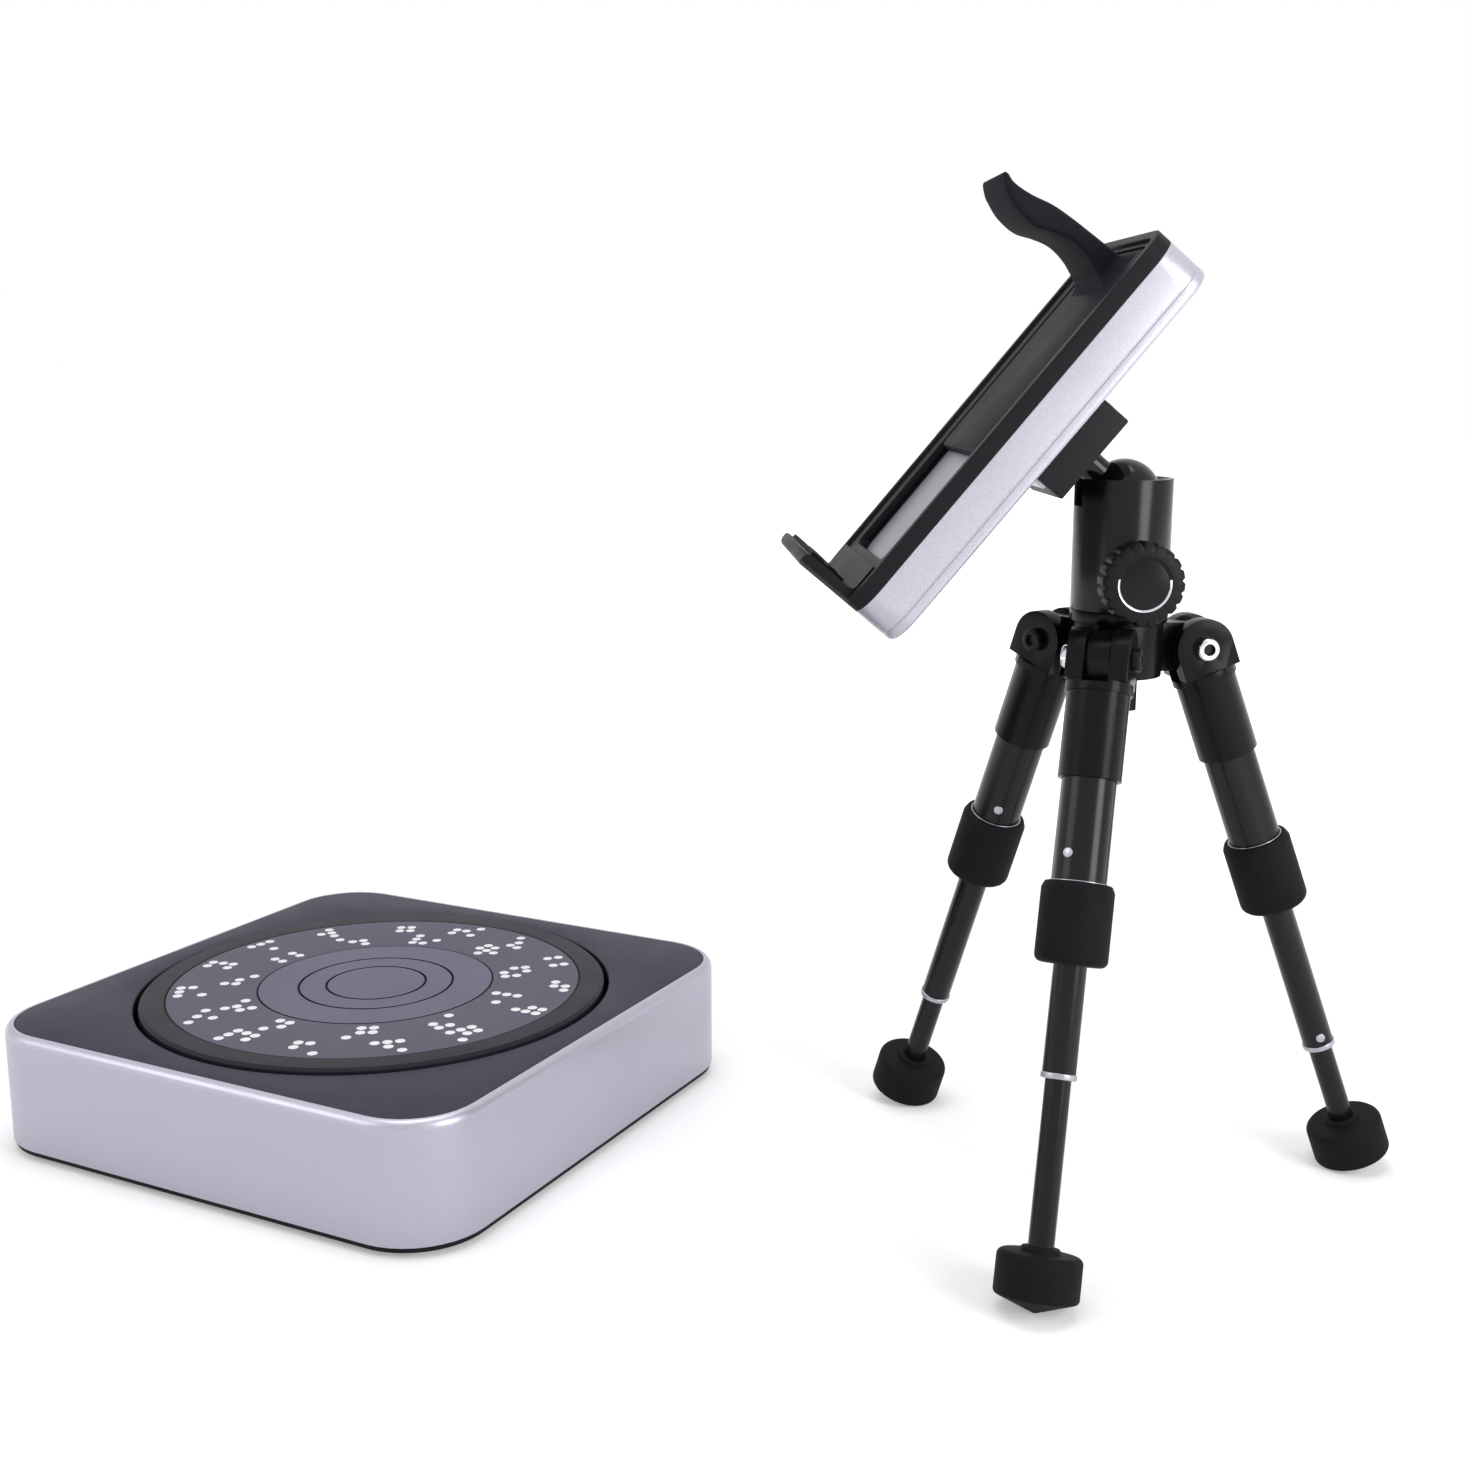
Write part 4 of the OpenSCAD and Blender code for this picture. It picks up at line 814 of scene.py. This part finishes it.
lip_loops = [lip_loop(0.0, rail_top, foot_edge), lip_loop(0.0, foot_top - 0.3, foot_edge),
             lip_loop(0.0, foot_top, foot_edge - 0.3), lip_loop(0.0, foot_top, lip_inner + 1.6),
             lip_loop(0.0, foot_top + 0.45, lip_inner + 0.5), lip_loop(0.0, foot_top + 1.6, lip_inner),
             lip_loop(0.0, lip_tip - 1.4, lip_inner), lip_loop(0.15, lip_tip - 0.7, lip_inner),
             lip_loop(0.5, lip_tip - 0.2, lip_inner), lip_loop(1.1, lip_tip, lip_inner)]
made("lower_lip", skin(lip_loops), cradle_at, [bezel_black], "cradle", ["lower_jaw"])
pad_steps = ((0.0, 0.0, 0.0), (0.8, 0.0, 0.2), (0.8, 2.8, 0.2), (1.2, 3.0, 0.15), (1.2, 6.0, 0.15),
             (0.8, 6.2, 0.2), (0.8, 7.8, 0.2), (1.2, 8.0, 0.15), (1.2, 12.0, 0.3), (0.0, 12.0, 0.0))
pad_side = eased([(lip_inner + out, pad_low_edge + up, radius) for out, up, radius in pad_steps], steps=3)
pad_loops = [[(x, y, z) for y, z in pad_side] for x in (-pad_half, pad_half)]
made("lip_pad", skin(pad_loops), cradle_at, [soft_rubber], "cradle", ["lower_pad"])

# Upper jaw: a flat panel that slides in the window, with thin flanges in the rails' grooves.
# An S-shaped finger grows out of it on broad fillets and hooks over the scanner's top.
# It is moulded in one piece of dark plastic.
panel_half = 26.7
panel_low = -22.0
panel_high = 51.7
panel_under = 13.85
panel_top = 17.0
panel_corner = 3.0
flange_half = 28.7
flange_high = panel_high - 3.0
flange_len = flange_high - panel_low
flange_corner = 0.5
flange_bite = 0.5
flange_top = 15.15
panel_black = surface("panel_black", (40, 39, 44), 0.52, grain=2300, mottle=0.14, relief=0.00002,
                      shine=0.03)
panel_mid = (0.0, (panel_low + panel_high) / 2)
panel_loops = [outline(2 * (panel_half - i), panel_high - panel_low - 2 * i, panel_corner - i, z, panel_mid)
               for i, z in ((0.2, panel_under), (0.0, panel_under + 0.2), (0.0, panel_top - 0.5),
                            (0.15, panel_top - 0.15), (0.5, panel_top))]
made("jaw_panel", skin(panel_loops), cradle_at, [panel_black], "upper_jaw", ["upper_jaw"])
for name, side in (("jaw_flange_near", 1), ("jaw_flange_far", -1)):
    low, high = sorted((side * (panel_half - flange_bite), side * flange_half))
    flange_mid = ((low + high) / 2, (panel_low + flange_high) / 2)
    loops = [outline(high - low - 2 * i, flange_len - 2 * i, flange_corner, z, flange_mid, steps=3)
             for i, z in ((0.15, panel_under), (0.0, panel_under + 0.2), (0.0, flange_top - 0.2),
                          (0.15, flange_top))]
    made(name, skin(loops), cradle_at, [panel_black], "upper_jaw")
hook_half = 16.0
hook_black = surface("hook_black", (40, 39, 45), 0.6, grain=2300, mottle=0.14, relief=0.00002, shine=0.01)
finger = [(-0.4, 38.9, 47.6), (3.0, 39.6, 47.5), (9.0, 41.4, 47.2), (15.0, 41.8, 46.8), (20.0, 40.4, 46.4),
          (26.0, 37.9, 45.6), (33.0, 37.9, 43.7), (39.0, 39.8, 43.0), (42.6, 42.2, 43.8)]


def finger_at(h):
    """The finger's lower and upper face at one height above the rails, on a smooth curve."""
    i = max(n for n in range(len(finger) - 1) if finger[n][0] <= h)
    t = (h - finger[i][0]) / (finger[i + 1][0] - finger[i][0])
    a, b, c, d = (finger[max(i - 1, 0)], finger[i], finger[i + 1], finger[min(i + 2, len(finger) - 1)])
    return [0.5 * (2 * b[n] + (c[n] - a[n]) * t + (2 * a[n] - 5 * b[n] + 4 * c[n] - d[n]) * t * t
                   + (3 * b[n] - a[n] - 3 * c[n] + d[n]) * t ** 3) for n in (1, 2)]


root_flare = 3.6
root_at = -0.4
flare_wide = 1.4
flare_deep = 1.8
nose_from = 41.2
nose_len = 1.4
nose_deep = 0.9
hook_corner = 1.7
hook_round = 0.46
hook_least = 0.5
hook_crease = 50
hook_loops = []
root_heights = [-0.6 + 0.35 * k for k in range(14)]
finger_heights = [4.5 + 0.9 * k for k in range(42)]
tip_heights = [42.3, 42.6]
for h in root_heights + finger_heights + tip_heights:
    low, high = finger_at(max(h, root_at))
    away = max(0.0, 1 - (h - root_at) / root_flare)
    flare = root_flare * (1 - math.sqrt(max(1 - away * away, 0.0)))
    tip = max(0.0, h - nose_from) / nose_len
    nose = nose_len * (1 - math.sqrt(max(1 - tip * tip, 0.0)))
    wide = 2 * (hook_half + flare * flare_wide - nose)
    deep = max(high - low + flare_deep * flare - nose_deep * nose, hook_least)
    corner = min(hook_corner, deep * hook_round)
    hook_loops.append(outline(wide, deep, corner, rail_top + h, (0.0, (low + high) / 2), steps=5))
made("jaw_hook", skin(hook_loops), cradle_at, [hook_black], "upper_jaw", crease=hook_crease)

# Studio: a plain white floor and surroundings with three large soft lamps.
# The camera stands where the photograph was taken from.
floor_white = (0.86, 0.86, 0.87, 1.0)
pure_white = (1.0, 1.0, 1.0, 1.0)
fade_start = 0.30
fade_end = 0.85
near_glow = 0.28
air_fill = 0.45


def seen_rays(tree):
    """A value of 1 on rays that show the surroundings directly, in gloss or through a clear piece."""
    path = tree.nodes.new("ShaderNodeLightPath")
    value = path.outputs["Is Camera Ray"]
    for ray in ("Is Glossy Ray", "Is Transmission Ray"):
        either = tree.nodes.new("ShaderNodeMath")
        either.operation = "MAXIMUM"
        tree.links.new(value, either.inputs[0])
        tree.links.new(path.outputs[ray], either.inputs[1])
        value = either.outputs["Value"]
    return value


def pale_floor():
    """White paint that shows the shadow near the set and fades into the white air further off."""
    look = bpy.data.materials.new("studio_white")
    look.use_nodes = True
    nodes = look.node_tree.nodes
    link = look.node_tree.links.new
    nodes.remove(nodes["Principled BSDF"])
    matt = nodes.new("ShaderNodeBsdfDiffuse")
    matt.inputs["Color"].default_value = floor_white
    where = nodes.new("ShaderNodeTexCoord")
    away = nodes.new("ShaderNodeVectorMath")
    away.operation = "LENGTH"
    link(where.outputs["Object"], away.inputs[0])
    fade = nodes.new("ShaderNodeMapRange")
    fade.interpolation_type = "SMOOTHSTEP"
    fade.inputs["From Min"].default_value = fade_start
    fade.inputs["From Max"].default_value = fade_end
    fade.inputs["To Min"].default_value = near_glow
    fade.inputs["To Max"].default_value = 1.0
    link(away.outputs["Value"], fade.inputs["Value"])
    level = nodes.new("ShaderNodeMath")
    level.operation = "MULTIPLY"
    link(seen_rays(look.node_tree), level.inputs[0])
    link(fade.outputs["Result"], level.inputs[1])
    glow = nodes.new("ShaderNodeEmission")
    glow.inputs["Color"].default_value = pure_white
    link(level.outputs["Value"], glow.inputs["Strength"])
    both = nodes.new("ShaderNodeAddShader")
    link(matt.outputs["BSDF"], both.inputs[0])
    link(glow.outputs["Emission"], both.inputs[1])
    link(both.outputs["Shader"], nodes["Material Output"].inputs["Surface"])
    return look


floor_half = 6.0
floor_middle = (0.12, 0.02, -0.0001)
floor_mesh = bpy.data.meshes.new("studio_floor")
floor_mesh.from_pydata([(-floor_half, -floor_half, 0), (floor_half, -floor_half, 0),
                        (floor_half, floor_half, 0), (-floor_half, floor_half, 0)], [], [(0, 1, 2, 3)])
floor_mesh.materials.append(pale_floor())
floor = bpy.data.objects.new("studio_floor", floor_mesh)
floor.location = floor_middle
bpy.context.scene.collection.objects.link(floor)

world = bpy.data.worlds.new("studio_air")
bpy.context.scene.world = world
world.use_nodes = True
air = world.node_tree.nodes["Background"]
air.inputs["Color"].default_value = pure_white
strength = world.node_tree.nodes.new("ShaderNodeMapRange")
strength.inputs["To Min"].default_value = air_fill
strength.inputs["To Max"].default_value = 1.0
join = world.node_tree.links.new
join(seen_rays(world.node_tree), strength.inputs["Value"])
join(strength.outputs["Result"], air.inputs["Strength"])


def lamp(name, place, aim, width, height, watts):
    """A large soft lamp that looks at a point of the set."""
    light = bpy.data.lights.new(name, "AREA")
    light.shape = "RECTANGLE"
    light.size = width
    light.size_y = height
    light.energy = watts
    holder = bpy.data.objects.new(name, light)
    holder.location = place
    holder.rotation_euler = (Vector(aim) - Vector(place)).to_track_quat("-Z", "Y").to_euler()
    bpy.context.scene.collection.objects.link(holder)


set_middle = (0.12, 0.02, 0.08)
lamp("overhead_lamp", (0.0, 0.1, 1.5), set_middle, 1.15, 1.15, 9.0)
lamp("left_lamp", (-0.9, -1.0, 0.9), set_middle, 0.9, 0.9, 5.0)
lamp("right_lamp", (0.80, -0.14, 0.36), (0.248, 0.055, 0.22), 0.26, 0.42, 2.4)

lens_px = 1800.0
frame_px = 1470.0
sensor_mm = 36.0
frame_shift = -0.003
eye = (0.39698, -0.48322, 0.26054)
look_down = 11.609
look_left = 27.441
camera = bpy.data.cameras.new("view_camera")
camera.sensor_width = sensor_mm
camera.lens = sensor_mm * lens_px / frame_px
camera.shift_x = frame_shift
camera.clip_start = 0.01
viewer = bpy.data.objects.new("view_camera", camera)
viewer.location = eye
viewer.rotation_euler = (math.radians(90.0 - look_down), 0.0, math.radians(look_left))
bpy.context.scene.collection.objects.link(viewer)
bpy.context.scene.camera = viewer
bpy.context.scene.view_settings.view_transform = "Standard"

bpy.context.view_layer.update()
